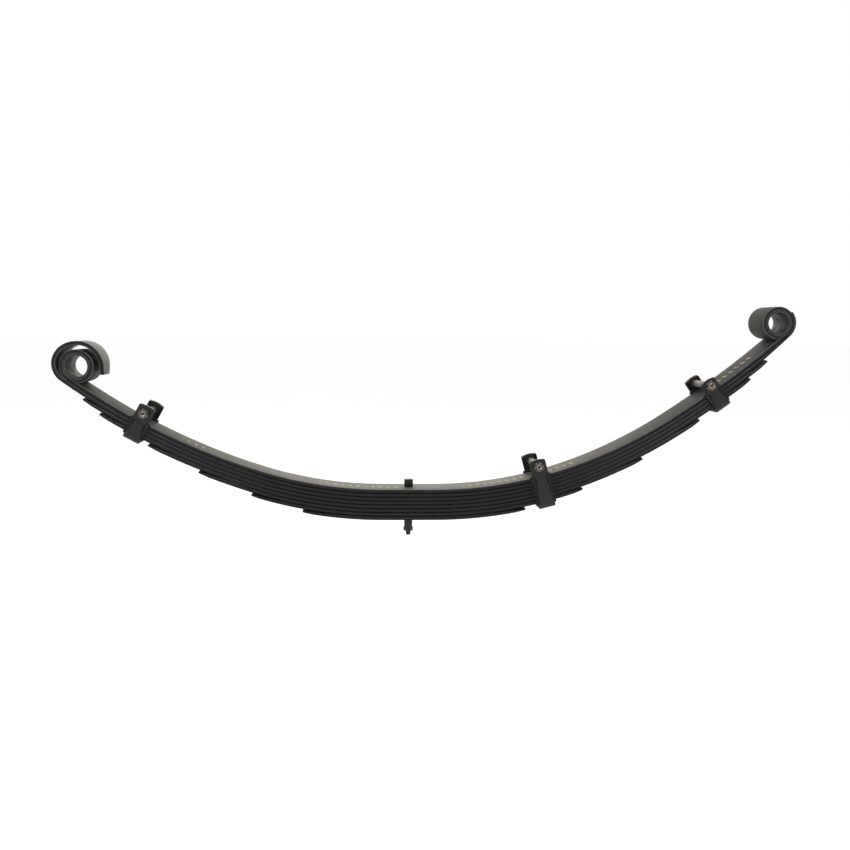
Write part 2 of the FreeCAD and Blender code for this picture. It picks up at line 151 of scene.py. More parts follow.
class Signal:
    """An output socket that takes part in arithmetic; a comparison gives one or zero."""

    __add__ = operator("ADD")
    __radd__ = operator("ADD", other_first=True)
    __sub__ = operator("SUBTRACT")
    __rsub__ = operator("SUBTRACT", other_first=True)
    __mul__ = operator("MULTIPLY")
    __rmul__ = operator("MULTIPLY", other_first=True)
    __truediv__ = operator("DIVIDE")
    __rtruediv__ = operator("DIVIDE", other_first=True)
    __abs__ = operator("ABSOLUTE")
    __gt__ = operator("GREATER_THAN")
    __lt__ = operator("LESS_THAN")
    after_point = operator("FRACT")

    def __init__(self, graph: "Graph", socket: bpy.types.NodeSocket) -> None:
        """Keeps the socket with its graph."""
        self.graph = graph
        self.socket = socket

    def limited(self) -> "Signal":
        """The signal held between zero and one."""
        return self.graph.math("MULTIPLY", self, 1.0, clamp=True)


class Graph:
    """The node graph of one material or world."""

    def __init__(self, owner: "bpy.types.Material | bpy.types.World") -> None:
        """Empties the owner's graph."""
        self.owner = owner
        owner.use_nodes = True
        self.tree = owner.node_tree
        self.tree.nodes.clear()

    def node(
        self,
        kind: str,
        settings: dict[str, object] | None = None,
        sockets: dict[str | int, object] | None = None,
    ) -> bpy.types.Node:
        """Adds one node.

        Args:
            kind: the node's type.
            settings: its properties, which are set first.
            sockets: a number, colour or signal for each input, by name or number.

        Returns:
            The new node.
        """
        node = self.tree.nodes.new(kind)
        for key, value in (settings or {}).items():
            setattr(node, key, value)
        for key, value in (sockets or {}).items():
            if isinstance(value, Signal):
                self.tree.links.new(value.socket, node.inputs[key])
            else:
                node.inputs[key].default_value = value
        return node

    def signal(
        self,
        kind: str,
        output: str | int,
        settings: dict[str, object] | None = None,
        sockets: dict[str | int, object] | None = None,
    ) -> Signal:
        """Adds one node and reads one of its outputs.

        Args:
            kind: the node's type.
            output: which output is read, by name or number.
            settings: the node's properties.
            sockets: its inputs.

        Returns:
            The output.
        """
        return Signal(self, self.node(kind, settings, sockets).outputs[output])

    def math(self, operation: str, *values: Signal | float, clamp: bool = False) -> Signal:
        """Adds a Math node.

        Args:
            operation: what the node does.
            values: its inputs in order.
            clamp: whether the result is held between zero and one.

        Returns:
            The result.
        """
        settings = {"operation": operation, "use_clamp": clamp}
        return self.signal("ShaderNodeMath", 0, settings, dict(enumerate(values)))

    def blend(self, first: Signal | Colour, second: Signal | Colour, share: Signal) -> Signal:
        """Mixes two colours.

        Args:
            first: the colour where the share is zero.
            second: the colour where the share is one.
            share: how much of the second colour shows.

        Returns:
            The mixed colour.
        """
        settings = {"data_type": "RGBA", "clamp_factor": True}
        return self.signal("ShaderNodeMix", 2, settings, {0: share, 6: first, 7: second})

    def attribute(self, name: str, output: str) -> Signal:
        """Reads an attribute of the piece."""
        return self.signal("ShaderNodeAttribute", output, {"attribute_name": name})

    def here(self) -> Signal:
        """The point's place in the piece's own coordinates."""
        return self.signal("ShaderNodeTexCoord", "Object")

    def scaled(self, vector: Signal, factors: Point) -> Signal:
        """Stretches a vector by one factor for each axis."""
        settings = {"operation": "MULTIPLY"}
        return self.signal("ShaderNodeVectorMath", 0, settings, {0: vector, 1: factors})

    def parts(self, vector: Signal) -> tuple[Signal, Signal, Signal]:
        """Splits a vector into its three numbers."""
        node = self.node("ShaderNodeSeparateXYZ", None, {0: vector})
        return tuple(Signal(self, output) for output in node.outputs)

    def noise(self, vector: Signal, scale: float, detail: float = 2.0) -> Signal:
        """Cloudy noise.

        Args:
            vector: where the noise is read.
            scale: its patches per metre.
            detail: how many finer layers are added.

        Returns:
            A signal around one half.
        """
        sockets = {"Vector": vector, "Scale": scale, "Detail": detail}
        return self.signal("ShaderNodeTexNoise", 0, None, sockets)

    def window(self, signal: Signal, low: float, high: float) -> Signal:
        """A smooth step from zero at low to one at high."""
        sockets = {"Value": signal, "From Min": low, "From Max": high}
        settings = {"interpolation_type": "SMOOTHSTEP"}
        return self.signal("ShaderNodeMapRange", 0, settings, sockets)

    def surface(
        self,
        colour: Signal,
        roughness: Signal | float,
        height: Signal,
        relief: float,
        metallic: Signal | float = 0.0,
        specular: float = 0.5,
    ) -> bpy.types.Material:
        """Closes the graph with a Principled shader.

        Args:
            colour: the base colour.
            roughness: the roughness, from zero to one.
            height: the relief's height, from zero to one.
            relief: how deep the relief is, in metres.
            metallic: how metallic the surface is, from zero to one.
            specular: the strength of its plain reflection.

        Returns:
            The finished material.
        """
        sockets = {"Strength": 1.0, "Distance": relief, "Height": height}
        shader = self.signal("ShaderNodeBsdfPrincipled", 0, None, {
            "Base Color": colour,
            "Roughness": roughness,
            "Metallic": metallic,
            "Specular IOR Level": specular,
            "Normal": self.signal("ShaderNodeBump", 0, None, sockets),
        })
        self.node("ShaderNodeOutputMaterial", None, {"Surface": shader})
        return self.owner


def new_material(name: str) -> Graph:
    """The empty graph of a new material."""
    return Graph(bpy.data.materials.new(name))


# --- finishes ---------------------------------------------------------------------------------
@dataclass(frozen=True)
class LeafPaint:
    """Satin black paint on rolled spring steel, with rubbed upper edges that also carry a painted highlight,
    painted shade in the seams and on the sides, and dust with a painted sheen along the middle.

    Attributes:
        edge_band: how far inside the leaf's edge its face begins, and where it is all face; outside it the
            sides take a painted shade.
        seam_band: how far inside the top and bottom the painted seam shade begins, and where it is all
            shade.
        upper_wear_and_highlight_band: how far inside the top the rubbed upper edge, with its painted
            highlight, is all there.
        bare_and_highlit: distances along the leaf between which its upper edges get barer and take more
            painted highlight, and the painted seam shade above them fades.
        pale: distances along the leaf where it is paler, with dust and a painted sheen, and smooth, and
            where it no longer is.
        shade_under_leaf_above: one where another leaf lies on this leaf's top, so that its upper seam takes
            the painted shade, else zero.
        eyes: where the two eyes begin along the leaf, the left one below zero.
        marks: where each row of dashes starts and ends along the leaf.
        mark_half: half the length of a dash, across the leaf.
        mark_offset: where the middle of a dash lies across the leaf.
        mark_slant: how many pitches a dash would lean in a metre.
        mark_share: the share of the pitch that a dash takes up.
    """

    name: str
    face: Colour = (0.022, 0.021, 0.017, 1.0)
    # painted shade for the leaf's sides and rounded long edges
    shaded_side: Colour = (0.0165, 0.0160, 0.0175, 1.0)
    # rubbed edge colour, which on the upper edges also stands in for a painted highlight
    worn: Colour = (0.115, 0.115, 0.122, 1.0)
    # dust colour, also laid on more along the middle as a painted sheen
    dust: Colour = (0.072, 0.067, 0.052, 1.0)
    # painted shade for the seams between leaves
    seam_shade: Colour = (0.0008, 0.0008, 0.0008, 1.0)
    mark: Colour = (0.50, 0.46, 0.20, 1.0)
    half_width: float = 0.03175
    half_thickness: float = 0.00296
    edge_band: Pair = (0.0003, 0.0014)
    seam_band: Pair = (0.0014, 0.0007)
    upper_wear_and_highlight_band: float = 0.0010
    bare_and_highlit: Pair = (0.15, 0.45)
    roughness: float = 0.46
    specular: float = 0.18
    relief: float = 0.00006
    cloud_scale: float = 16.0
    streak_scale: Point = (14.0, 420.0, 420.0)
    speck_scale: float = 950.0
    chip_scale: float = 120.0
    pale: Pair = (0.10, 0.50)
    shade_under_leaf_above: float = 1.0
    eyes: Pair = (-1.0, 1.0)
    marks: tuple[Pair, ...] = ()
    mark_pitch: float = 0.0118
    mark_half: float = 0.0055
    mark_offset: float = -0.003
    mark_slant: float = 26.0
    mark_share: float = 0.32
    mark_strength: float = 0.60

    def material(self) -> bpy.types.Material:
        """Builds the paint's material.

        Returns:
            The material.
        """
        graph = new_material(self.name)
        place = graph.attribute(PLACE, "Vector")
        signed, across, above = graph.parts(place)
        along = abs(signed)
        wear = graph.attribute(WEAR, "Fac")
        cloud = graph.noise(place, self.cloud_scale, 3.0)
        streak = graph.noise(graph.scaled(place, self.streak_scale), 1.0, 3.0)
        speck = graph.noise(place, self.speck_scale, 1.0)
        chip = graph.noise(place, self.chip_scale, 4.0)
        wide = graph.window(abs(across), *(self.half_width - inside for inside in self.edge_band))
        # Dust plus painted sheen: along the middle stretch the leaf is painted paler and made smoother,
        # standing in for the brighter light on the middle of the top.
        near, far = self.pale
        flat = graph.window(along, far, near)
        dust_and_sheen = graph.window(cloud * 0.5 + streak * 0.6 + flat * 0.35, 0.50, 1.00)
        colour = graph.blend(self.face, self.dust, dust_and_sheen)
        # Painted shade: the sides and rounded long edges take a darker, cooler colour than the faces.
        colour = graph.blend(self.shaded_side, colour, wide)
        # Painted shade in the seams between leaves: the lower edge of each side, and the upper edge where
        # the leaf above lies on it, are painted near-black and made metallic so that they stay dark; towards
        # the ends the upper shade thins.
        start, end = (self.half_thickness - inside for inside in self.seam_band)
        bare_and_highlit = graph.window(along, *self.bare_and_highlit)
        shade_under_leaf_above = graph.window(above, start, end) * (1.0 - bare_and_highlit) * self.shade_under_leaf_above
        rolled = (signed < self.eyes[0]) + (signed > self.eyes[1])
        lower = graph.window(above, -start, -end)
        seam = (lower * (1.0 - rolled) + shade_under_leaf_above) * (1.0 - wide)
        colour = graph.blend(colour, self.seam_shade, seam)
        if self.marks:
            colour = graph.blend(colour, self.mark, self.dashes(graph, signed, across, chip))
        # Rubbed edge wear plus painted highlight: the light rubbed colour is kept to the upper edges and
        # grows towards the ends.
        upper = graph.window(above, 0.0, self.half_thickness - self.upper_wear_and_highlight_band) + rolled
        worn = graph.window(wear * 0.62 + chip * 0.75, 0.50, 0.95)
        rim = worn * upper.limited() * (bare_and_highlit * 0.7 + 0.3)
        colour = graph.blend(colour, self.worn, rim)
        matt = (1.0 - flat) * 0.16 + cloud * 0.16 - streak * 0.10 + seam * 0.30 - rim * 0.12
        return graph.surface(
            colour,
            (matt + self.roughness).limited(),
            speck * 0.35 + streak * 0.45 + cloud * 0.20,
            self.relief,
            metallic=seam.limited(),
            specular=self.specular,
        )

    def dashes(self, graph: Graph, along: Signal, across: Signal, chip: Signal) -> Signal:
        """Faded rows of plain paint dashes across the leaf.

        Args:
            graph: the graph that is being built.
            along: the distance along the leaf, below zero on the left.
            across: the distance from the leaf's middle.
            chip: noise that breaks the paint up.

        Returns:
            How much of the dashes shows.
        """
        row = abs(across - self.mark_offset) < self.mark_half
        slant = along / self.mark_pitch + across * self.mark_slant
        dash = row * (slant.after_point() < self.mark_share)
        inside: Signal | None = None
        for low, high in self.marks:
            span = (along > low) * (along < high)
            inside = span if inside is None else inside + span
        return dash * inside * graph.window(chip, 0.15, 0.60) * self.mark_strength


@dataclass(frozen=True)
class ClampPaint:
    """Semi-gloss black paint on pressed steel, scuffed where it is flat, with light edges and painted shade
    along the strap's margins.

    Attributes:
        margin_band: from the strap's middle, where the painted shade on its margins begins and where it is
            all shade.
    """

    name: str = "clamp_paint"
    base: Colour = (0.0190, 0.0190, 0.0195, 1.0)
    # painted shade for the strap's margins
    margin: Colour = (0.0030, 0.0028, 0.0026, 1.0)
    scuffed: Colour = (0.024, 0.023, 0.022, 1.0)
    worn: Colour = (0.10, 0.10, 0.10, 1.0)
    margin_band: Pair = (0.0076, 0.0092)
    roughness: float = 0.46
    specular: float = 0.30
    relief: float = 0.00008
    cloud_scale: float = 70.0
    grain_scale: float = 1600.0
    scratch_scale: Point = (90.0, 90.0, 900.0)

    def material(self) -> bpy.types.Material:
        """Builds the paint's material.

        Returns:
            The material.
        """
        graph = new_material(self.name)
        place = graph.here()
        wear = graph.attribute(WEAR, "Fac")
        cloud = graph.noise(place, self.cloud_scale, 4.0)
        grain = graph.noise(place, self.grain_scale, 2.0)
        scratch = graph.noise(graph.scaled(place, self.scratch_scale), 1.0, 3.0)
        across = abs(graph.parts(graph.attribute(PLACE, "Vector"))[1])
        # Painted shade: the strap's sloped margins are painted near-black and made rougher.
        margin = graph.window(across, *self.margin_band)
        scuff = graph.window(cloud + scratch * 0.35, 0.62, 0.88)
        rim = graph.window(wear * 0.6 + cloud * 0.7, 0.55, 1.0)
        colour = graph.blend(self.base, self.scuffed, scuff * 0.7)
        colour = graph.blend(colour, self.margin, margin)
        colour = graph.blend(colour, self.worn, rim)
        roughness = self.roughness + scuff * 0.18 + margin * 0.20 - rim * 0.08
        height = grain * 0.5 + scratch * 0.3 + cloud * 0.2
        return graph.surface(
            colour, roughness.limited(), height, self.relief, specular=self.specular
        )


@dataclass(frozen=True)
class MouldedPlastic:
    """Matt moulded plastic with a fine spark-eroded grain and burnished edges."""

    name: str
    base: Colour = (0.006, 0.006, 0.006, 1.0)
    rubbed: Colour = (0.045, 0.045, 0.045, 1.0)
    roughness: float = 0.58
    specular: float = 0.25
    relief: float = 0.00010
    cloud_scale: float = 45.0
    pebble_scale: float = 1400.0

    def material(self) -> bpy.types.Material:
        """Builds the plastic's material.

        Returns:
            The material.
        """
        graph = new_material(self.name)
        place = graph.here()
        wear = graph.attribute(WEAR, "Fac")
        cloud = graph.noise(place, self.cloud_scale, 3.0)
        sockets = {"Vector": place, "Scale": self.pebble_scale}
        pebble = graph.signal("ShaderNodeTexVoronoi", "Distance", {"feature": "F1"}, sockets)
        rim = graph.window(wear + cloud * 0.6, 0.55, 1.35)
        colour = graph.blend(self.base, self.rubbed, rim)
        roughness = self.roughness + pebble * 0.15 - rim * 0.14
        height = pebble * 0.7 + cloud * 0.3
        return graph.surface(
            colour, roughness.limited(), height, self.relief, specular=self.specular
        )


@dataclass(frozen=True)
class PlatedSteel:
    """Zinc or oxide plating: fine turning lines, stains and rubbed corners."""

    name: str
    base: Colour
    stain: Colour
    rubbed: Colour
    roughness: float = 0.34
    metallic: float = 1.0
    relief: float = 0.00005
    stain_scale: float = 260.0
    grain_scale: float = 2600.0
    line_scale: Point = (300.0, 4200.0, 300.0)

    def material(self) -> bpy.types.Material:
        """Builds the plating's material.

        Returns:
            The material.
        """
        graph = new_material(self.name)
        place = graph.here()
        wear = graph.attribute(WEAR, "Fac")
        patch = graph.noise(place, self.stain_scale, 4.0)
        lines = graph.noise(graph.scaled(place, self.line_scale), 1.0, 2.0)
        grain = graph.noise(place, self.grain_scale, 2.0)
        stained = graph.window(patch, 0.44, 0.70)
        rim = graph.window(wear * 0.8 + patch * 0.5, 0.55, 1.05)
        colour = graph.blend(self.base, self.stain, stained)
        colour = graph.blend(colour, self.rubbed, rim)
        roughness = self.roughness + stained * 0.22 + lines * 0.08 - rim * 0.10
        metallic = (self.metallic - stained * 0.25).limited()
        height = lines * 0.5 + grain * 0.5
        return graph.surface(colour, roughness.limited(), height, self.relief, metallic=metallic)


@dataclass(frozen=True)
class StudioFloor:
    """A plain pale painted floor."""

    name: str = "studio_floor"
    base: Colour = (0.90, 0.90, 0.90, 1.0)
    patch: Colour = (0.88, 0.88, 0.875, 1.0)
    roughness: float = 0.9
    specular: float = 0.1
    relief: float = 0.0002
    patch_scale: float = 0.8
    grain_scale: float = 90.0

    def material(self) -> bpy.types.Material:
        """Builds the floor's material.

        Returns:
            The material.
        """
        graph = new_material(self.name)
        cloud = graph.noise(graph.here(), self.patch_scale, 2.0)
        grain = graph.noise(graph.here(), self.grain_scale, 2.0)
        colour = graph.blend(self.base, self.patch, cloud)
        return graph.surface(colour, self.roughness, grain, self.relief, specular=self.specular)


# --- curves in a plane ------------------------------------------------------------------------
@dataclass(frozen=True)
class Curve:
    """A chain of straight runs and left-hand arcs, each given as (radius or None, length)."""

    runs: tuple[Run, ...]
    start: Pair = (0.0, 0.0)
    heading: float = 0.0

    @property
    def length(self) -> float:
        """The whole length."""
        return sum(length for _, length in self.runs)

    def at(self, s: float, depth: float = 0.0) -> tuple[float, float, float]:
        """Finds a point beside the curve.

        Args:
            s: the distance along the curve.
            depth: how far the point lies to the right of it.

        Returns:
            The point's two coordinates and the curve's heading.
        """
        x, z = self.start
        heading = self.heading
        left = s
        for radius, length in self.runs:
            step = min(left, length)
            if radius is None:
                x += step * math.cos(heading)
                z += step * math.sin(heading)
            else:
                turned = heading + step / radius
                x += radius * (math.sin(turned) - math.sin(heading))
                z += radius * (math.cos(heading) - math.cos(turned))
                heading = turned
            left -= step
        return x + depth * math.sin(heading), z - depth * math.cos(heading), heading

    def reach(self, x: float, depth: float = 0.0) -> float:
        """Finds where the curve at a depth comes to x.

        Args:
            x: the distance outwards.
            depth: how far below the curve.

        Returns:
            The distance along the curve.
        """
        low, high = 0.0, self.length
        for _ in range(HALVINGS):
            middle = (low + high) / 2
            if self.at(middle, depth)[0] < x:
                low = middle
            else:
                high = middle
        return (low + high) / 2

    def stops(self, start: float, end: float, step: float, turn: float) -> list[float]:
        """Divides a stretch so that it bends smoothly.

        Args:
            start: where the stretch begins.
            end: where it ends.
            step: the longest division.
            turn: the most that one division may turn.

        Returns:
            The places between start and end where the stretch is cut.
        """
        places: list[float] = []
        reached = 0.0
        for radius, length in self.runs:
            low, high = max(start, reached), min(end, reached + length)
            reached += length
            if high <= low:
                continue
            pace = step if radius is None else min(step, radius * turn)
            count = max(1, math.ceil((high - low) / pace))
            places += [low + (high - low) * k / count for k in range(count)]
        return [place for place in places if start < place < end]


# --- mesh making ------------------------------------------------------------------------------
def as_object(bm: Mesh, name: str, material: bpy.types.Material) -> Piece:
    """Shades a mesh smoothly between its corners and makes it an object at the origin.

    Args:
        bm: the mesh, which is freed.
        name: the object's name.
        material: its finish.

    Returns:
        The object, linked to the scene.
    """
    for face in bm.faces:
        face.smooth = True
    for edge in bm.edges:
        edge.smooth = edge.calc_face_angle(0.0) < SHARP
    mesh = bpy.data.meshes.new(name)
    bm.to_mesh(mesh)
    bm.free()
    mesh.materials.append(material)
    piece = bpy.data.objects.new(name, mesh)
    bpy.context.scene.collection.objects.link(piece)
    return piece


def moved(bm: Mesh, matrix: Matrix) -> Mesh:
    """Moves a whole mesh by a matrix and gives it back."""
    bmesh.ops.transform(bm, matrix=matrix, verts=bm.verts)
    return bm


def turned_over(height: float) -> Matrix:
    """The move that turns a part on the Z axis over and stands it at a height."""
    return Matrix.Translation((0, 0, height)) @ Matrix.Rotation(math.pi, 4, "X")


def spin(
    bm: Mesh,
    verts: list[bmesh.types.BMVert],
    edges: list[bmesh.types.BMEdge],
    steps: int,
) -> None:
    """Spins a chain of edges once round the Z axis and closes its seam and poles.

    Args:
        bm: the mesh that holds the chain.
        verts: the chain's vertices.
        edges: its edges.
        steps: how many faces go round.
    """
    bmesh.ops.spin(
        bm, geom=verts + edges, cent=(0, 0, 0), axis=(0, 0, 1), dvec=(0, 0, 0),
        angle=math.tau, steps=steps, use_merge=True, use_duplicate=False,
    )
    bmesh.ops.remove_doubles(bm, verts=bm.verts, dist=TINY)


@dataclass
class Bar:
    """A flat bar with rounded long edges, made straight and then laid along a curve."""

    start: float
    end: float
    width: float
    thickness: float
    rounding: float
    cuts: list[float]
    cross_cuts: list[float] = field(default_factory=list)
    free_ends: tuple[float, ...] = ()
    end_rounding: float = 0.0008
    edge_faces: int = 4
    end_faces: int = 2
    exposed_share: float = 0.9

    def straight(self) -> Mesh:
        """Makes the straight bar along X, with its place and wear attributes.

        Returns:
            The bar: x is the distance along it, y across it, z from its middle up.
        """
        bm = bmesh.new()
        bmesh.ops.create_cube(bm, size=1.0)
        size = (self.end - self.start, self.width, self.thickness)
        bmesh.ops.scale(bm, vec=size, verts=bm.verts)
        bmesh.ops.translate(bm, vec=((self.start + self.end) / 2, 0, 0), verts=bm.verts)
        long_edges = [e for e in bm.edges if abs(e.verts[0].co.x - e.verts[1].co.x) > TINY]
        self.round_edges(bm, long_edges, self.rounding, self.edge_faces)
        for end in self.free_ends:
            rim = [e for e in bm.edges if all(abs(v.co.x - end) < TINY for v in e.verts)]
            self.round_edges(bm, rim, self.end_rounding, self.end_faces)
        for axis, cuts in ((Vector((1, 0, 0)), self.cuts), (Vector((0, 1, 0)), self.cross_cuts)):
            for cut in cuts:
                everything = [*bm.verts, *bm.edges, *bm.faces]
                bmesh.ops.bisect_plane(
                    bm, geom=everything, dist=TINY / 10, plane_co=axis * cut, plane_no=axis
                )
        self.write_attributes(bm)
        return bm

    def round_edges(
        self, bm: Mesh, edges: list[bmesh.types.BMEdge], radius: float, segments: int
    ) -> None:
        """Rounds some edges.

        Args:
            bm: the bar.
            edges: the edges to round.
            radius: the size of the rounding.
            segments: how many faces it gets.
        """
        bmesh.ops.bevel(
            bm, geom=edges, offset=radius, offset_type="OFFSET", segments=segments,
            profile=0.5, affect="EDGES", clamp_overlap=True, material=-1,
        )

    def write_attributes(self, bm: Mesh) -> None:
        """Stores each point's place in the straight bar and how exposed its edge is.

        Args:
            bm: the straight bar.
        """
        place = bm.verts.layers.float_vector.new(PLACE)
        wear = bm.verts.layers.float.new(WEAR)
        for vert in bm.verts:
            out = (abs(vert.co.y) - self.width / 2) / self.rounding + 1
            up = (abs(vert.co.z) - self.thickness / 2) / self.rounding + 1
            exposed = 2 * max(0.0, out) * max(0.0, up)
            for end in self.free_ends:
                if abs(vert.co.x - end) < self.end_rounding * self.exposed_share:
                    exposed = 1.0
            vert[place] = vert.co
            vert[wear] = min(1.0, exposed)

    def laid(self, lay: Callable[[float, float, float], Point]) -> Mesh:
        """Bends the bar.

        Args:
            lay: gives a point's place from its distance along, distance across, and share of
                the thickness from the top.

        Returns:
            The bent bar with its faces outwards.
        """
        bm = self.straight()
        for vert in bm.verts:
            vert.co = lay(vert.co.x, vert.co.y, 0.5 - vert.co.z / self.thickness)
        bmesh.ops.recalc_face_normals(bm, faces=bm.faces)
        return bm


@dataclass
class Turning:
    """A turned part on the Z axis, spun from the corners of its half section."""

    corners: list[Pair]
    rim: float = 0.0004
    closed: bool = False
    steps: int = 48
    share_of_side: float = 0.45
    roundness: float = 0.55

    def profile(self) -> list[tuple[float, float, float]]:
        """Breaks each corner of the section.

        Returns:
            Points (radius, height, wear) with two or three points for each corner.
        """
        points: list[tuple[float, float, float]] = []
        count = len(self.corners)
        for index, corner in enumerate(self.corners):
            if not self.closed and index in (0, count - 1):
                points.append((*corner, 0.0))
                continue
            here = Vector(corner)
            before = Vector(self.corners[index - 1])
            after = Vector(self.corners[(index + 1) % count])
            sides = [(other - here) for other in (before, after)]
            reach = min(self.rim, *(side.length * self.share_of_side for side in sides))
            a, b = (here + side.normalized() * reach for side in sides)
            middle = (a + b) / 2 * self.roundness + here * (1 - self.roundness)
            points += [(*a, 0.0), (*middle, 1.0), (*b, 0.0)]
        return points

    def spun(self) -> Mesh:
        """Spins the section.

        Returns:
            The closed part with its faces outwards.
        """
        bm = bmesh.new()
        wear = bm.verts.layers.float.new(WEAR)
        verts = []
        for radius, height, exposed in self.profile():
            vert = bm.verts.new((radius, 0.0, height))
            vert[wear] = exposed
            verts.append(vert)
        pairs = list(zip(verts, verts[1:]))
        if self.closed:
            pairs.append((verts[-1], verts[0]))
        edges = [bm.edges.new(pair) for pair in pairs]
        spin(bm, verts, edges, self.steps)
        bmesh.ops.recalc_face_normals(bm, faces=bm.faces)
        return bm


def ring(bore: float, outer: float, start: float, end: float, rim: float = 0.0004) -> Mesh:
    """Turns a plain ring on the Z axis.

    Args:
        bore: the radius of its hole.
        outer: its outside radius.
        start: the height of the end that is drawn first.
        end: the height of the other end.
        rim: how far its corners are broken.

    Returns:
        The ring.
    """
    corners = [(bore, start), (outer, start), (outer, end), (bore, end)]
    return Turning(corners, rim=rim, closed=True).spun()


@dataclass
class Thread:
    """The threaded end of a bolt."""

    radius: float
    low: float
    high: float
    pitch: float = 0.00125
    depth: float = 0.0006
    chamfer_share: float = 1.3
    steps: int = 36
    slices: int = 8

    def made(self) -> Mesh:
        """Cuts the thread into a spun bar.

        Returns:
            The threaded bar, with a chamfered upper end.
        """
        count = max(4, round((self.high - self.low) / self.pitch * self.slices))
        heights = [self.low + (self.high - self.low) * k / count for k in range(count + 1)]
        bm = bmesh.new()
        wear = bm.verts.layers.float.new(WEAR)
        outline = [(0.0, self.low)] + [(self.radius, z) for z in heights] + [(0.0, self.high)]
        verts = [bm.verts.new((radius, 0.0, z)) for radius, z in outline]
        edges = [bm.edges.new(pair) for pair in zip(verts, verts[1:])]
        spin(bm, verts, edges, self.steps)
        for vert in bm.verts:
            radius = math.hypot(vert.co.x, vert.co.y)
            if radius < TINY:
                continue
            turn = (vert.co.z / self.pitch - math.atan2(vert.co.y, vert.co.x) / math.tau) % 1.0
            groove = abs(2 * turn - 1)
            cut = self.depth * groove
            chamfer = max(0.0, self.depth * self.chamfer_share - (self.high - vert.co.z))
            factor = (radius - max(cut, chamfer)) / radius
            vert.co.x *= factor
            vert.co.y *= factor
            vert[wear] = 1.0 - groove
        bmesh.ops.recalc_face_normals(bm, faces=bm.faces)
        return bm


def joined(parts: Iterable[Mesh]) -> Mesh:
    """Puts several meshes into one.

    Args:
        parts: the meshes, which are freed.

    Returns:
        One mesh that holds them all.
    """
    out = bmesh.new()
    for part in parts:
        mesh = bpy.data.meshes.new("part")
        part.to_mesh(mesh)
        part.free()
        out.from_mesh(mesh)
        bpy.data.meshes.remove(mesh)
    return out


# --- dressing the pieces ----------------------------------------------------------------------
class Palette:
    """Every finish of the spring, built once for its slot."""

    def __init__(self, eyes: Pair, marks: tuple[Pair, ...]) -> None:
        """Builds the materials.

        Args:
            eyes: where the eyes begin along the main leaf.
            marks: the stretches of the main leaf that carry paint dashes.
        """
        finishes = {
            Slot.LEAF: LeafPaint("leaf_paint", pale=(0.75, 1.0)),
            Slot.MAIN_LEAF: LeafPaint("main_leaf_paint", shade_under_leaf_above=0.0, eyes=eyes, marks=marks),
            Slot.PAD: MouldedPlastic("tip_pad_plastic", base=(0.010, 0.010, 0.010, 1.0)),
            Slot.LINER: MouldedPlastic("liner_plastic"),
            Slot.CLAMP: ClampPaint(),
            Slot.SPACER: PlatedSteel(
                "spacer_zinc",
                (0.11, 0.10, 0.08, 1.0), (0.06, 0.05, 0.036, 1.0), (0.36, 0.34, 0.30, 1.0),
            ),
            # Rubbed plating plus painted highlight: the bright rubbed colour on the corners and thread
            # crests stands in for glints.
            Slot.CLAMP_BOLT: PlatedSteel(
                "bolt_yellow_zinc",
                (0.115, 0.09, 0.068, 1.0), (0.02, 0.017, 0.015, 1.0), (0.80, 0.76, 0.70, 1.0),
            ),
            Slot.CENTRE_BOLT: PlatedSteel(
                "bolt_black_oxide",
                (0.014, 0.014, 0.015, 1.0), (0.008, 0.008, 0.008, 1.0), (0.11, 0.11, 0.11, 1.0),
                roughness=0.44, metallic=0.3,
            ),
            Slot.SLEEVE: PlatedSteel(
                "sleeve_phosphate",
                (0.026, 0.023, 0.019, 1.0), (0.012, 0.010, 0.008, 1.0), (0.24, 0.23, 0.22, 1.0),
                roughness=0.52, metallic=0.35, stain_scale=90.0,
            ),
        }
        self.materials = {slot: finish.material() for slot, finish in finishes.items()}

    def piece(self, bm: Mesh, name: str, node: str, slot: Slot, moves: Joint | str) -> Piece:
        """Makes a mesh a finished piece, and logs how far its box is beyond its node's.

        Args:
            bm: the mesh, which is freed.
            name: the piece's name.
            node: the CAD node that it stands for.
            slot: the record's slot of its finish.
            moves: the joint that it bends with, or the body that it rides on.

        Returns:
            The piece.
        """
        piece = as_object(bm, name, self.materials[slot])
        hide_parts(node)
        if isinstance(moves, Joint):
            near, far, start, end = moves.value
            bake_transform(piece, near, far, start=(start, 0, 0), end=(end, 0, 0))
        else:
            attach(piece, moves)
        beyond = 0.0
        for axis, (low, high) in enumerate(zip(*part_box(node))):
            values = [vert.co[axis] for vert in piece.data.vertices]
            beyond = max(beyond, low - min(values), max(values) - high)
        log.info(
            "%-22s for %-20s %6d faces, %5.2f mm beyond its node",
            name, node, len(piece.data.polygons), beyond * MILLIMETRES,
        )
        return piece


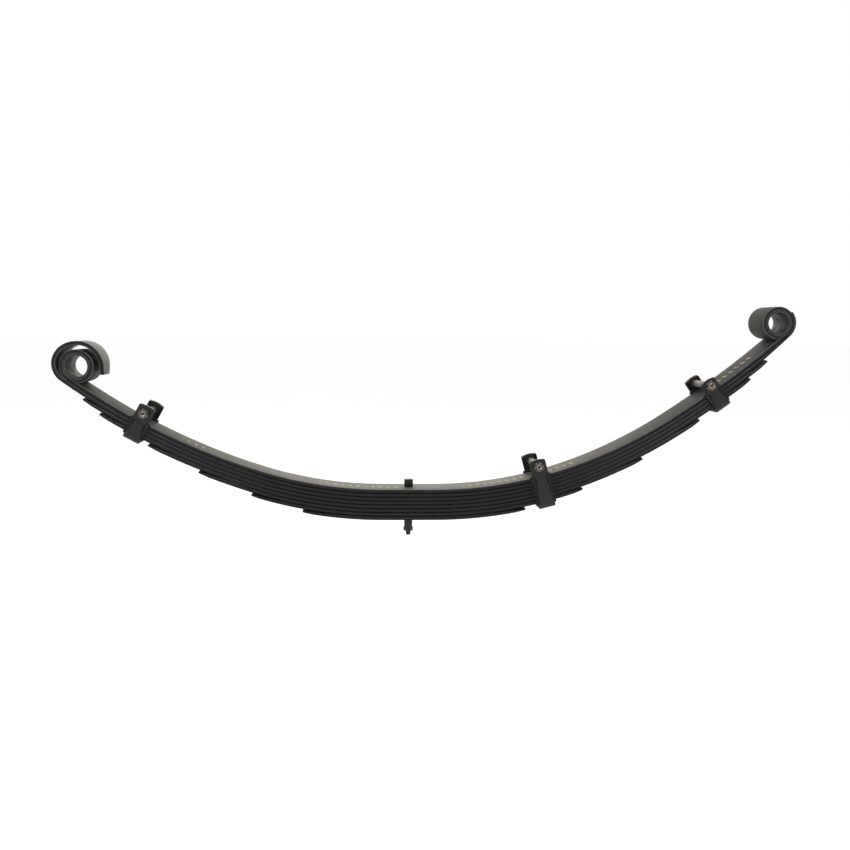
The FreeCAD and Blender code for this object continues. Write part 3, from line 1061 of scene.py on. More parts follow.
# --- leaves -----------------------------------------------------------------------------------
@dataclass(frozen=True)
class Pack:
    """Sizes that all the leaves share."""

    width: float = 0.0635
    pitch: float = 0.006
    thickness: float = 0.00592
    rounding: float = 0.0014
    bore: float = 0.0196
    split: float = 0.2035
    step: float = 0.008
    turn: float = math.radians(5.0)
    camber: dict[Side, tuple[Run, ...]] = field(
        default_factory=lambda: {
            Side.LEFT: ((None, 0.040), (0.636, 0.195), (1.008, 0.500)),
            Side.RIGHT: ((None, 0.040), (0.641, 0.212), (0.746, 0.180), (1.506, 0.500)),
        }
    )
    eye_x: dict[Side, float] = field(
        default_factory=lambda: {Side.LEFT: 0.5136, Side.RIGHT: 0.5894}
    )

    def curve(self, side: Side) -> Curve:
        """The main leaf's top on one side."""
        return Curve(self.camber[side])

    def along(self, x: float) -> float:
        """The distance along the main leaf to a place on X, below zero on the left."""
        side = Side.LEFT if x < 0 else Side.RIGHT
        return side.value * self.curve(side).reach(abs(x))

    def eye(self, side: Side) -> tuple[float, float, Pair]:
        """Finds an eye.

        Args:
            side: which eye.

        Returns:
            Where it starts along the leaf, the slope there, and the eye's centre.
        """
        curve = self.curve(side)
        s = curve.reach(self.eye_x[side])
        x, z, slope = curve.at(s)
        centre = (x - self.bore * math.sin(slope), z + self.bore * math.cos(slope))
        return s, slope, centre

    def up_to_eye(self, side: Side, onward: Iterable[Run]) -> Curve:
        """The camber up to an eye, followed by other runs.

        Args:
            side: which side.
            onward: the runs after the eye's start.

        Returns:
            The whole curve.
        """
        left = self.eye(side)[0]
        runs: list[Run] = []
        for radius, length in self.camber[side]:
            step = min(left, length)
            left -= step
            if step > 0:
                runs.append((radius, step))
        return Curve((*runs, *onward))

    def joint(self, side: Side, x: float) -> Joint:
        """The joint that a small piece bends with, by its distance outwards."""
        if side is Side.LEFT:
            return Joint.LEFT
        return Joint.OUTER if x > self.split else Joint.INNER

    def stretches(self, side: Side) -> list[tuple[Joint, float, float | None]]:
        """The pieces that one side of a leaf is divided into.

        Args:
            side: which side.

        Returns:
            For each piece its joint, its start along the leaf, and its end or None for the tip.
        """
        if side is Side.LEFT:
            return [(Joint.LEFT, 0.0, None)]
        split = self.curve(side).reach(self.split)
        return [(Joint.INNER, 0.0, split), (Joint.OUTER, split, None)]


@dataclass
class Leaf:
    """One leaf of the pack, made in pieces that each bend with one joint."""

    pack: Pack
    palette: Palette
    number: int = 0
    node: str = ""
    slot: Slot = Slot.LEAF

    def curve(self, side: Side) -> Curve:
        """The curve that the leaf follows on one side."""
        return self.pack.curve(side)

    def tip(self, side: Side) -> float:
        """Where the leaf ends, along its curve."""
        return self.curve(side).length

    def kinks(self, side: Side) -> list[float]:
        """Places where the leaf's section begins to change."""
        return []

    def span(self, side: Side, s: float) -> Pair:
        """The depths of the leaf's top and bottom faces at a place."""
        top = (self.number - 1) * self.pack.pitch
        return top, top + self.pack.thickness

    def half_width(self, side: Side, s: float, z: float) -> float:
        """Half the leaf's width at a place."""
        return self.pack.width / 2

    def spot(self, side: Side, s: float, depth: float) -> Pair:
        """A point of the leaf in its side's plane."""
        return self.curve(side).at(s, depth)[:2]

    def lay(self, side: Side, s: float, y: float, share: float) -> Point:
        """Places one point of the straight bar.

        Args:
            side: which side of the spring.
            s: the distance along the leaf.
            y: the distance from its middle.
            share: the share of its thickness, from the top.

        Returns:
            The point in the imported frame.
        """
        top, bottom = self.span(side, s)
        x, z = self.spot(side, s, top + share * (bottom - top))
        narrowing = self.half_width(side, s, z) / (self.pack.width / 2)
        return side.value * x, y * narrowing, z

    def build(self) -> list[Piece]:
        """Makes and dresses the leaf's pieces.

        Returns:
            The pieces.
        """
        pieces = []
        for side in Side:
            tip = self.tip(side)
            for joint, start, end in self.pack.stretches(side):
                if end is None or end > tip:
                    end = tip
                if start < end:
                    pieces.append(self.piece(side, joint, start, end))
        return pieces

    def piece(self, side: Side, joint: Joint, start: float, end: float) -> Piece:
        """Makes one piece of the leaf.

        Args:
            side: which side of the spring.
            joint: the joint that the piece bends with.
            start: where the piece begins along the leaf.
            end: where it ends.

        Returns:
            The finished piece.
        """
        pack = self.pack
        cuts = self.curve(side).stops(start, end, pack.step, pack.turn)
        cuts += [place for place in self.kinks(side) if start < place < end]
        bar = Bar(
            start, end, pack.width, pack.thickness, pack.rounding, cuts,
            free_ends=(end,) if end == self.tip(side) else (),
        )
        bm = bar.laid(lambda s, y, share: self.lay(side, s, y, share))
        place = bm.verts.layers.float_vector[PLACE]
        for vert in bm.verts:
            vert[place].x *= side.value
        name = f"{self.node}_{joint.name.lower()}"
        return self.palette.piece(bm, name, self.node, self.slot, joint)


@dataclass
class MainLeaf(Leaf):
    """The top leaf, rolled into an eye at each end."""

    number: int = 1
    node: str = "main_leaf"
    slot: Slot = Slot.MAIN_LEAF
    slit: float = 0.0012

    def curve(self, side: Side) -> Curve:
        """The camber and, after it, the eye's bore."""
        return self.pack.up_to_eye(side, [(self.pack.bore, math.tau * self.pack.bore)])

    def spot(self, side: Side, s: float, depth: float) -> Pair:
        """Follows the camber, then rolls round the eye and closes on the leaf.

        Args:
            side: which side of the spring.
            s: the distance along the leaf.
            depth: the distance from the leaf's top.

        Returns:
            The point in the side's plane.
        """
        eye_start, slope, centre = self.pack.eye(side)
        if s <= eye_start:
            return self.pack.curve(side).at(s, depth)[:2]
        radius = self.pack.bore + depth
        closing = math.acos((self.pack.bore - self.slit) / radius)
        share = (s - eye_start) / (math.tau * self.pack.bore)
        angle = slope - math.pi / 2 + share * (math.tau - closing)
        return centre[0] + radius * math.cos(angle), centre[1] + radius * math.sin(angle)


@dataclass
class EyeSleeve:
    """The thin steel sleeve pressed into an eye."""

    pack: Pack
    palette: Palette
    side: Side
    bore: float = 0.0163
    chamfer: float = 0.0008
    gap: float = 0.00005
    steps: int = 72

    def build(self) -> Piece:
        """Makes and dresses the sleeve.

        Returns:
            The finished sleeve.
        """
        half = self.pack.width / 2
        outer = self.pack.bore - self.gap
        mouth = self.bore + self.chamfer
        corners = [
            (self.bore, self.chamfer - half), (mouth, -half), (outer, -half),
            (outer, half), (mouth, half), (self.bore, half - self.chamfer),
        ]
        bm = Turning(corners, closed=True, steps=self.steps).spun()
        x, z = self.pack.eye(self.side)[2]
        seat = Matrix.Translation((self.side.value * x, 0, z))
        bm = moved(bm, seat @ Matrix.Rotation(math.pi / 2, 4, "X"))
        node = f"{self.side.name.lower()}_eye_sleeve"
        joint = self.pack.joint(self.side, x)
        return self.palette.piece(bm, f"{node}_detail", node, Slot.SLEEVE, joint)


@dataclass
class SecondLeaf(Leaf):
    """The wrapper leaf: a loose narrowing loop on the left, a thin close wrap on the right."""

    number: int = 2
    node: str = "second_leaf"
    loop_radius: float = 0.038
    loop_join: float = math.radians(40.0)
    loop_tail: float = 0.013
    loop_end_width: float = 0.039
    narrowing_above: float = 0.002
    narrowing_below: float = 0.001
    wrap_thickness: float = 0.0022
    wrap_taper: float = 0.090
    wrap_end: float = math.radians(40.0)

    def loop_runs(self) -> list[Run]:
        """The runs of the loose loop.

        Returns:
            A straight run, the root arc, the crown arc and the tail.
        """
        pack = self.pack
        _, slope, _ = pack.eye(Side.LEFT)
        bottom = pack.pitch + pack.thickness
        join = (math.cos(self.loop_join), math.sin(self.loop_join))
        lean = join[0] * math.sin(slope) - join[1] * math.cos(slope)
        root = (pack.bore + bottom - lean * self.loop_radius) / (1 - lean)
        offset = self.loop_radius - root
        run = offset * (join[0] * math.cos(slope) + join[1] * math.sin(slope))
        return [
            (None, run),
            (root - bottom, (root - bottom) * (self.loop_join + math.pi / 2 - slope)),
            (self.loop_radius - bottom, (self.loop_radius - bottom) * (math.pi - self.loop_join)),
            (None, self.loop_tail),
        ]

    def curve(self, side: Side) -> Curve:
        """The camber, then the loop or the wrap."""
        if side is Side.LEFT:
            return self.pack.up_to_eye(side, self.loop_runs())
        _, slope, _ = self.pack.eye(side)
        angle = self.wrap_end + math.pi / 2 - slope
        return self.pack.up_to_eye(side, [(self.pack.bore, self.pack.bore * angle)])

    def touch(self) -> float:
        """Finds where the thinned bottom of the leaf meets the wrap's round.

        Returns:
            The distance along the leaf.
        """
        pack = self.pack
        start, slope, centre = pack.eye(Side.RIGHT)
        outer = pack.bore + pack.pitch + self.wrap_thickness
        x, z, _ = pack.curve(Side.RIGHT).at(start - self.wrap_taper, pack.pitch + pack.thickness)
        across = (x - centre[0], z - centre[1])
        angle = math.atan2(across[1], across[0]) + math.acos(outer / math.hypot(*across))
        return start + (angle - slope + math.pi / 2) * pack.bore

    def kinks(self, side: Side) -> list[float]:
        """Where the right end starts and stops thinning."""
        if side is Side.LEFT:
            return []
        return [self.pack.eye(side)[0] - self.wrap_taper, self.touch()]

    def span(self, side: Side, s: float) -> Pair:
        """The depths of the top and bottom, with the right end thinned.

        Args:
            side: which side of the spring.
            s: the distance along the leaf.

        Returns:
            The two depths.
        """
        top, bottom = super().span(side, s)
        if side is Side.RIGHT:
            first, last = self.kinks(side)
            share = min(1.0, max(0.0, (s - first) / (last - first)))
            bottom += share * (self.wrap_thickness - self.pack.thickness)
        return top, bottom

    def half_width(self, side: Side, s: float, z: float) -> float:
        """Narrows the loop from its crown to its free end.

        Args:
            side: which side of the spring.
            s: the distance along the leaf.
            z: the point's height.

        Returns:
            Half the width there.
        """
        full = self.pack.width / 2
        tail = self.curve(side).length - self.loop_tail
        crown = tail - (self.loop_radius - self.pack.pitch - self.pack.thickness) * math.pi / 2
        if side is Side.RIGHT or s < crown:
            return full
        centre = self.pack.eye(side)[2]
        top = centre[1] + self.loop_radius + self.narrowing_above
        low = centre[1] - self.loop_tail - self.narrowing_below
        return full + (self.loop_end_width / 2 - full) * (top - z) / (top - low)


@dataclass
class LowerLeaf(Leaf):
    """A plain leaf whose tips are thinned on top and trimmed at their corners.

    Attributes:
        reach: how far each tip reaches along X.
        tips: how far each tip is along the leaf, which follows from its reach.
    """

    reach: dict[Side, float] = field(default_factory=dict)
    tips: dict[Side, float] = field(init=False)
    tip_thickness: float = 0.0034
    taper: float = 0.050
    trim_length: float = 0.016
    trim_run: float = 0.017
    trim_width: float = 0.005

    def __post_init__(self) -> None:
        """Names the leaf and finds its tips."""
        self.node = f"leaf_{self.number}"
        depth = self.number * self.pack.pitch
        self.tips = {side: self.pack.curve(side).reach(x, depth) for side, x in self.reach.items()}

    def tip(self, side: Side) -> float:
        """The leaf's tip."""
        return self.tips[side]

    def kinks(self, side: Side) -> list[float]:
        """Where the taper and the trimmed corners begin."""
        return [self.tips[side] - self.taper, self.tips[side] - self.trim_length]

    def span(self, side: Side, s: float) -> Pair:
        """The depths of the top, which slopes down at the tip, and of the bottom.

        Args:
            side: which side of the spring.
            s: the distance along the leaf.

        Returns:
            The two depths.
        """
        top, bottom = super().span(side, s)
        share = max(0.0, 1 - (self.tips[side] - s) / self.taper)
        return top + share * (self.pack.thickness - self.tip_thickness), bottom

    def half_width(self, side: Side, s: float, z: float) -> float:
        """Half the width, which shrinks where the corners are trimmed."""
        past = max(0.0, s - self.tips[side] + self.trim_length)
        return self.pack.width / 2 - self.trim_width * past / self.trim_run

    def build(self) -> list[Piece]:
        """Makes the leaf and its two tip pads."""
        pads = [TipPad(self, side).build() for side in Side]
        return super().build() + pads


@dataclass
class TipPad:
    """The wedge-shaped pad between a thinned tip and the leaf above."""

    leaf: LowerLeaf
    side: Side
    setback: float = 0.016
    length: float = 0.026
    gap: float = 0.00005
    nominal_thickness: float = 0.001
    rounding: float = 0.00025
    end_rounding: float = 0.0003

    def build(self) -> Piece:
        """Makes and dresses the pad.

        Returns:
            The finished pad.
        """
        leaf, side = self.leaf, self.side
        end = leaf.tip(side) - self.setback
        start = end - self.length
        width = leaf.pack.width - 2 * leaf.trim_width
        upper = (leaf.number - 1) * leaf.pack.pitch
        joint = leaf.pack.joint(side, leaf.spot(side, start, upper)[0])
        cuts = leaf.curve(side).stops(start, end, leaf.pack.step, leaf.pack.turn)
        bar = Bar(
            start, end, width, self.nominal_thickness, self.rounding, cuts,
            free_ends=(end,), end_rounding=self.end_rounding,
        )

        def lay(s: float, y: float, share: float) -> Point:
            """Places one point of the wedge."""
            bottom = leaf.span(side, s)[0] - self.gap
            x, z = leaf.spot(side, s, upper + share * (bottom - upper))
            return side.value * x, y, z

        name = f"{side.name.lower()}_tip_pad_{leaf.number}"
        return leaf.palette.piece(bar.laid(lay), name, name, Slot.PAD, joint)


# --- fasteners --------------------------------------------------------------------------------
@dataclass
class CentreBolt:
    """The bolt that holds the leaves together: round head, collar, nut and threaded end."""

    palette: Palette
    body: str = "pack"
    stack: float = 0.04792
    radius: float = 0.004
    head_radius: float = 0.007
    head_height: float = 0.012
    collar_radius: float = 0.0065
    collar_height: float = 0.015
    nut_flats: float = 0.013
    nut_height: float = 0.007
    end: float = 0.0066
    clearance: float = 0.0003
    head_rim: float = 0.0007
    collar_rim: float = 0.0005
    dimple_depth: float = 0.0004
    dimple: Pair = (0.45, 0.55)

    def build(self) -> list[Piece]:
        """Makes and dresses the three pieces.

        Returns:
            The pieces.
        """
        collar_low = -self.stack - self.collar_height
        nut_low = collar_low - self.nut_height
        top, floor = self.head_height, self.head_height - self.dimple_depth
        inner, outer = (self.head_radius * share for share in self.dimple)
        head = Turning(
            [(0, 0), (self.head_radius, 0), (self.head_radius, top), (outer, top),
             (inner, floor), (0, floor)],
            rim=self.head_rim,
        ).spun()
        shank = Turning([(0, nut_low), (self.radius, nut_low), (self.radius, 0), (0, 0)]).spun()
        thread = moved(Thread(self.radius, 0.0, self.end).made(), turned_over(nut_low))
        collar = ring(
            self.radius + self.clearance, self.collar_radius, -self.stack, collar_low,
            rim=self.collar_rim,
        )
        nut = HexNut(self.nut_flats, self.nut_height, self.radius).made()
        return [
            self.palette.piece(bm, f"{node}_detail", node, Slot.CENTRE_BOLT, self.body)
            for bm, node in (
                (joined([head, shank, thread]), "centre_bolt"),
                (collar, "centre_bolt_collar"),
                (moved(nut, Matrix.Translation((0, 0, nut_low))), "centre_bolt_nut"),
            )
        ]


@dataclass
class HexNut:
    """A hexagon nut or bolt head with chamfered corners, from z = 0 up."""

    flats: float
    height: float
    bore: float = 0.0
    chamfer: float = 0.0007
    sink: float = 0.0006
    rim: float = 0.00025
    corner_share: float = 1.12
    corner_wear: float = 0.9

    def made(self) -> Mesh:
        """Spins the blank and mills its flats.

        Returns:
            The nut, or a solid head where the bore is zero.
        """
        apothem = self.flats / 2
        corner = apothem / math.cos(math.pi / 6)
        outside = [
            (apothem, 0.0), (corner, self.chamfer), (corner, self.height - self.chamfer),
            (apothem, self.height),
        ]
        if self.bore:
            mouth = self.bore + self.sink
            corners = [
                (mouth, 0.0), *outside, (mouth, self.height),
                (self.bore, self.height - self.sink), (self.bore, self.sink),
            ]
        else:
            corners = [(0.0, 0.0), *outside, (0.0, self.height)]
        bm = Turning(corners, rim=self.rim, closed=bool(self.bore)).spun()
        self.mill(bm, apothem)
        bmesh.ops.recalc_face_normals(bm, faces=bm.faces)
        return bm

    def mill(self, bm: Mesh, apothem: float) -> None:
        """Brings every point inside the hexagon and marks its six corners as exposed.

        Args:
            bm: the spun blank.
            apothem: half the distance between two flats.
        """
        wear = bm.verts.layers.float[WEAR]
        sixth = math.pi / 3
        for vert in bm.verts:
            angle = math.atan2(vert.co.y, vert.co.x) % sixth
            radius = math.hypot(vert.co.x, vert.co.y)
            limit = apothem / math.cos(angle - sixth / 2)
            if radius > limit:
                vert.co.x *= limit / radius
                vert.co.y *= limit / radius
                radius = limit
            if radius > apothem * self.corner_share:
                vert[wear] = max(vert[wear], self.corner_wear)


@dataclass
class ReboundClamp:
    """A U-shaped strap with a plastic liner, closed above the leaves by a bolt in a spacer."""

    name: str
    side: Side
    distance: float
    held: int
    ear: float
    bolt_height: float
    body: str
    pack: Pack
    palette: Palette
    strap_width: float = 0.0254
    strap_thickness: float = 0.005
    strap_bend: float = 0.008
    strap_rounding: float = 0.0007
    strap_end_rounding: float = 0.0005
    strap_step: float = 0.006
    strap_turn: float = math.radians(11.0)
    strap_strips: int = 6
    shoulder: float = 0.0015
    crown: float = 0.004
    crease: float = 0.0082
    flat_range: Pair = (0.0062, 0.0118)
    flat_fade: float = 0.005
    margin_slope: float = 0.30
    liner_width: float = 0.032
    liner_thickness: float = 0.003
    liner_lip: float = 0.003
    liner_fillet: float = 0.0008
    liner_rounding: float = 0.0006
    liner_step: float = 0.008
    liner_turn: float = math.radians(15.0)
    gap: float = 0.0003
    bolt_radius: float = 0.004
    flats: float = 0.013
    nut_height: float = 0.0065
    head_height: float = 0.0053
    bolt_end: float = 0.002
    washer_radius: float = 0.008
    washer_height: float = 0.0016
    spacer_radius: float = 0.0056
    thread_start: float = 0.002
    rivet_head: Pair = (0.006, 0.0032)
    rivet_shank: Pair = (0.003, 0.0045)
    rivet_rim: float = 0.0003
    rivet_rings: int = 6

    @property
    def under(self) -> float:
        """The height of the liner's floor, just below the lowest held leaf."""
        return -((self.held - 1) * self.pack.pitch + self.pack.thickness) - self.gap

    @property
    def strap_half(self) -> float:
        """Half the width inside the strap."""
        return self.pack.width / 2 + 2 * self.gap + self.liner_thickness

    def seat(self) -> Matrix:
        """Finds the clamp's place on the leaves.

        Returns:
            The move from the clamp's own coordinates, X along the leaves and Z away from them.
        """
        curve = self.pack.curve(self.side)
        x, z, slope = curve.at(curve.reach(self.distance))
        turn = Matrix.Rotation(-self.side.value * slope, 4, "Y")
        return Matrix.Translation((self.side.value * x, 0, z)) @ turn

    def finished(self, bm: Mesh, part: str, slot: Slot) -> Piece:
        """Seats one piece on the spring and dresses it.

        Args:
            bm: the piece's mesh in the clamp's own coordinates.
            part: which of the clamp's parts it is.
            slot: the record's slot of its finish.

        Returns:
            The finished piece.
        """
        node = f"{self.name}_{part}"
        bm = moved(bm, self.seat())
        return self.palette.piece(bm, f"{node}_detail", node, slot, self.body)

    def channel(
        self, half: float, thickness: float, bend: float, foot: float, top: float
    ) -> Curve:
        """The inside line of a U-shaped band.

        Args:
            half: half the width inside the band.
            thickness: the band's thickness.
            bend: the outside radius of its two bends.
            foot: the height of its floor.
            top: the height of its two ends.

        Returns:
            The line from one end down, across and up to the other.
        """
        radius = bend - thickness
        upright = top - foot - radius
        quarter = radius * math.pi / 2
        runs = (
            (None, upright), (radius, quarter), (None, 2 * (half - radius)),
            (radius, quarter), (None, upright),
        )
        return Curve(runs, start=(-half, top), heading=-math.pi / 2)

    def strap(self) -> Piece:
        """Makes the pressed strap with its arched ears.

        Returns:
            The finished strap.
        """
        foot = self.under - self.liner_thickness - self.gap
        line = self.channel(
            self.strap_half, self.strap_thickness, self.strap_bend, foot, self.ear
        )
        half = self.strap_width / 2
        sweep = (half**2 + self.crown**2) / (2 * self.crown)
        shoulder = self.crown + self.shoulder
        cuts = line.stops(0.0, line.length, self.strap_step, self.strap_turn)
        cuts = [c for c in cuts if shoulder < c < line.length - shoulder]
        cuts += [shoulder, line.length - shoulder]
        strips, creases = self.strap_strips, [-self.crease, self.crease]
        bar = Bar(
            0.0, line.length, self.strap_width, self.strap_thickness, self.strap_rounding, cuts,
            cross_cuts=[half * k / strips for k in range(1 - strips, strips)] + creases,
            free_ends=(0.0, line.length), end_rounding=self.strap_end_rounding,
        )

        def lay(s: float, y: float, share: float) -> Point:
            """Places one point of the strap, with its ends arched and its margins sloped."""
            drop = sweep - math.sqrt(sweep**2 - min(abs(y), half) ** 2)
            from_end = min(s, line.length - s)
            shift = drop * max(0.0, 1 - from_end / shoulder)
            s += shift if s < line.length / 2 else -shift
            flat = self.flat_half(line.at(s)[1], foot)
            past = max(0.0, abs(y) - self.crease) / (half - self.crease)
            if share > 0.5:
                wide = flat + past * (half - flat) if past else abs(y) * flat / self.crease
                y = math.copysign(wide, y)
            slope = self.margin_slope * past * (half - flat)
            depth = share * self.strap_thickness - slope * max(0.0, share - 0.5) * 2
            across, up, _ = line.at(s, depth)
            return y, across, up

        return self.finished(bar.laid(lay), "strap", Slot.CLAMP)

    def flat_half(self, up: float, foot: float) -> float:
        """Half the flat middle of the strap's outside, which is narrowest beside the leaves' top.

        Args:
            up: the height on the strap.
            foot: the height of the strap's floor.

        Returns:
            Half the flat's width.
        """
        narrow, wide = self.flat_range
        if up < 0:
            share = max(0.0, min(1.0, (up - foot) / -foot))
        else:
            share = max(0.0, 1 - up / self.flat_fade)
        return wide - share * (wide - narrow)

    def liner(self) -> Piece:
        """Makes the plastic liner between the leaves and the strap.

        Returns:
            The finished liner.
        """
        half = self.pack.width / 2 + self.gap
        bend = self.liner_thickness + self.liner_fillet
        line = self.channel(half, self.liner_thickness, bend, self.under, self.liner_lip)
        cuts = line.stops(0.0, line.length, self.liner_step, self.liner_turn)
        bar = Bar(
            0.0, line.length, self.liner_width, self.liner_thickness, self.liner_rounding, cuts,
            free_ends=(0.0, line.length), end_rounding=self.liner_rounding,
        )

        def lay(s: float, y: float, share: float) -> Point:
            """Places one point of the liner."""
            across, up, _ = line.at(s, share * self.liner_thickness)
            return y, across, up

        return self.finished(bar.laid(lay), "liner", Slot.LINER)

    def bolt_set(self) -> list[Piece]:
        """Makes the bolt, nut, washer and spacer.

        Returns:
            The finished pieces.
        """
        outside = self.strap_half + self.strap_thickness
        nut_low = outside + self.washer_height
        nut_top = nut_low + self.nut_height
        radius = self.bolt_radius
        clear = radius + self.gap
        shank = Turning([(0, -outside), (radius, -outside), (radius, outside), (0, outside)])
        thread = Thread(radius, outside - self.thread_start, nut_top + self.bolt_end).made()
        head = moved(HexNut(self.flats, self.head_height).made(), turned_over(-outside))
        nut = HexNut(self.flats, self.nut_height, radius).made()
        reach = self.strap_half - self.gap / 2
        across = Matrix.Translation((0, 0, self.bolt_height)) @ Matrix.Rotation(math.pi / 2, 4, "X")
        return [
            self.finished(moved(bm, across), part, slot)
            for bm, part, slot in (
                (joined([shank.spun(), thread, head]), "bolt", Slot.CLAMP_BOLT),
                (moved(nut, Matrix.Translation((0, 0, nut_low))), "nut", Slot.CLAMP_BOLT),
                (ring(clear, self.washer_radius, outside, nut_low), "washer", Slot.CLAMP),
                (ring(clear, self.spacer_radius, -reach, reach), "spacer", Slot.SPACER),
            )
        ]

    def rivet(self) -> Piece:
        """Makes the domed rivet under the strap.

        Returns:
            The finished rivet.
        """
        low = self.under - self.liner_thickness - self.gap - self.strap_thickness
        radius, height = self.rivet_head
        ball = (radius**2 + height**2) / (2 * height)
        rings = self.rivet_rings
        angles = [math.asin(radius / ball) * k / rings for k in range(rings + 1)]
        arc = [
            (ball * math.sin(angle), low - height + ball * (1 - math.cos(angle)))
            for angle in angles
        ]
        shank, height_inside = self.rivet_shank
        top = self.under + height_inside
        bm = Turning([*arc, (shank, low), (shank, top), (0.0, top)], rim=self.rivet_rim).spun()
        return self.finished(bm, "rivet", Slot.CLAMP)

    def build(self) -> list[Piece]:
        """Makes the whole clamp.

        Returns:
            Its pieces.
        """
        return [self.strap(), self.liner(), *self.bolt_set(), self.rivet()]


# --- the whole spring -------------------------------------------------------------------------
@dataclass
class LeafSpring:
    """Eight leaves, their pads, the centre bolt and the clamps.

    Attributes:
        pack: the sizes that all the leaves share.
        tips: how far each lower leaf reaches along X, on the left and on the right.
        clamps: for each clamp its name, side, distance along X, number of leaves that it holds,
            the heights of its ears and of its bolt, and its body.
        marks: the stretches along X of the main leaf that carry paint dashes.
    """

    pack: Pack = field(default_factory=Pack)
    tips: dict[int, Pair] = field(
        default_factory=lambda: {
            3: (0.4950, 0.5630),
            4: (0.4710, 0.5370),
            5: (0.3995, 0.4575),
            6: (0.3240, 0.3680),
            7: (0.2440, 0.2735),
            8: (0.1655, 0.1830),
        }
    )
    clamps: tuple[tuple[str, Side, float, int, float, float, str], ...] = (
        ("left_clamp", Side.LEFT, 0.408, 4, 0.027, 0.014, "left_end"),
        ("middle_clamp", Side.RIGHT, 0.2035, 7, 0.028, 0.0168, "right_middle"),
        ("right_clamp", Side.RIGHT, 0.473, 4, 0.021, 0.011, "right_end"),
    )
    marks: tuple[Pair, ...] = (
        (-0.350, -0.312), (-0.148, -0.016), (0.075, 0.180), (0.219, 0.268), (0.492, 0.548),
    )

    def build(self) -> list[Piece]:
        """Builds every sub-assembly.

        Returns:
            All the pieces.
        """
        pack = self.pack
        eyes = (-pack.eye(Side.LEFT)[0], pack.eye(Side.RIGHT)[0])
        marks = tuple((pack.along(low), pack.along(high)) for low, high in self.marks)
        palette = Palette(eyes, marks)
        pieces = MainLeaf(pack, palette).build() + SecondLeaf(pack, palette).build()
        for number, (left, right) in self.tips.items():
            reach = {Side.LEFT: left, Side.RIGHT: right}
            pieces += LowerLeaf(pack, palette, number, reach=reach).build()
        pieces += [EyeSleeve(pack, palette, side).build() for side in Side]
        pieces += CentreBolt(palette).build()
        for clamp in self.clamps:
            pieces += ReboundClamp(*clamp, pack, palette).build()
        return pieces


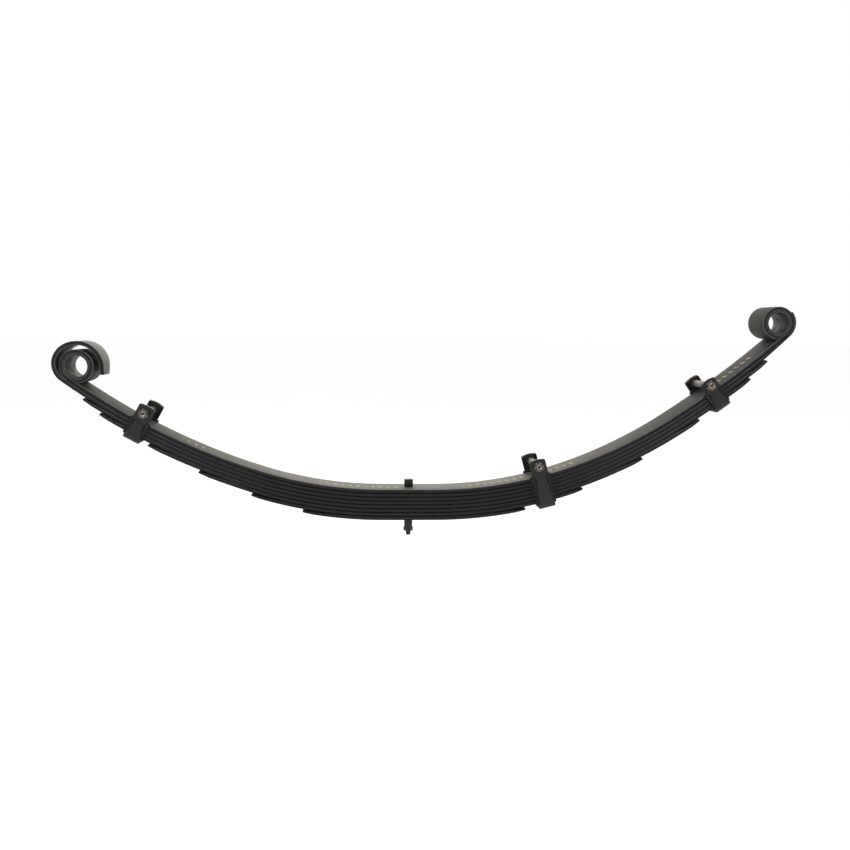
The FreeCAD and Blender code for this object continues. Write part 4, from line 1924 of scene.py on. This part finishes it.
@dataclass
class Studio:
    """A pale floor, soft light and the camera.

    Attributes:
        lamps: for each lamp its name, place, width and height, power in watts, and colour.
        aim: the point that the lamps face.
        ambient: the strength of the light from all round.
        ambient_back: how much stronger it is from behind.
        ambient_up: how much stronger it is from above.
    """

    floor_height: float = -0.30
    floor_radius: float = 40.0
    floor_sides: int = 96
    lamps: tuple[tuple[str, Point, Pair, float, Point], ...] = (
        ("top_light", (0.0, -0.2, 2.6), (3.4, 2.4), 30.0, (1.0, 1.0, 1.0)),
        ("back_light", (0.0, 2.8, 1.1), (3.0, 1.6), 12.0, (1.0, 0.93, 0.74)),
        ("front_light", (-1.6, -2.6, 1.0), (1.4, 1.4), 3.0, (1.0, 1.0, 1.0)),
    )
    aim: Point = (0.0, 0.0, 0.1)
    camera_place: Point = (-0.09333, -1.62175, 0.24976)
    yaw: float = math.radians(4.171)
    pitch: float = math.radians(5.341)
    roll: float = math.radians(0.648)
    lens: float = 44.01
    far_clip: float = 200.0
    white: Colour = (1.0, 1.0, 1.0, 1.0)
    ambient: float = 0.66
    ambient_back: float = 0.50
    ambient_up: float = 0.65

    def build(self) -> None:
        """Sets up the whole studio."""
        self.floor()
        self.world()
        self.camera()
        for lamp in self.lamps:
            self.lamp(*lamp)

    def floor(self) -> None:
        """Lays the floor."""
        bm = bmesh.new()
        bmesh.ops.create_circle(
            bm, cap_ends=True, segments=self.floor_sides, radius=self.floor_radius
        )
        moved(bm, Matrix.Translation((0, 0, self.floor_height)))
        as_object(bm, "floor", StudioFloor().material())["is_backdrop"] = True

    def world(self) -> None:
        """Surrounds the scene with pale light, softer in front, which the camera sees as white."""
        world = bpy.data.worlds.new("studio")
        graph = Graph(world)
        _, back, up = graph.parts(graph.signal("ShaderNodeTexCoord", "Generated"))
        strength = self.ambient + back * self.ambient_back + (up * self.ambient_up).limited()
        kind = "ShaderNodeBackground"
        light = graph.signal(kind, 0, None, {"Color": self.white, "Strength": strength})
        seen = graph.signal(kind, 0, None, {"Color": self.white})
        straight = graph.signal("ShaderNodeLightPath", "Is Camera Ray")
        mix = graph.signal("ShaderNodeMixShader", 0, None, {0: straight, 1: light, 2: seen})
        graph.node("ShaderNodeOutputWorld", None, {"Surface": mix})
        bpy.context.scene.world = world
        bpy.context.scene.view_settings.view_transform = "Standard"

    def lamp(self, name: str, place: Point, size: Pair, power: float, colour: Point) -> None:
        """Hangs one soft light that faces the spring.

        Args:
            name: the light's name.
            place: where it hangs.
            size: its width and height.
            power: its power in watts.
            colour: its colour.
        """
        data = bpy.data.lights.new(name, "AREA")
        data.shape = "RECTANGLE"
        data.size, data.size_y = size
        data.energy = power
        data.color = colour
        lamp = bpy.data.objects.new(name, data)
        look = (Vector(self.aim) - Vector(place)).to_track_quat("-Z", "Y")
        lamp.matrix_world = Matrix.Translation(place) @ look.to_matrix().to_4x4()
        bpy.context.scene.collection.objects.link(lamp)

    def camera(self) -> None:
        """Places the camera."""
        forward = Vector((
            math.sin(self.yaw) * math.cos(self.pitch),
            math.cos(self.yaw) * math.cos(self.pitch),
            -math.sin(self.pitch),
        ))
        level = forward.cross(Vector((0, 0, 1))).normalized()
        above = level.cross(forward)
        right = level * math.cos(self.roll) + above * math.sin(self.roll)
        up = above * math.cos(self.roll) - level * math.sin(self.roll)
        turn = Matrix((right, up, -forward)).transposed().to_4x4()
        data = bpy.data.cameras.new("camera")
        data.lens = self.lens
        data.clip_end = self.far_clip
        camera = bpy.data.objects.new("camera", data)
        camera.matrix_world = Matrix.Translation(self.camera_place) @ turn
        bpy.context.scene.collection.objects.link(camera)
        bpy.context.scene.camera = camera


def main() -> None:
    """Builds the spring."""
    logging.basicConfig(level=logging.INFO, format="%(message)s")
    pieces = LeafSpring().build()
    Studio().build()
    log.info("%d pieces", len(pieces))
    boxes = {"cad": CAD_BOX, "visual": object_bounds()}
    {name: [list(corner) for corner in box] for name, box in boxes.items()}


if __name__ == "__main__":
    main()
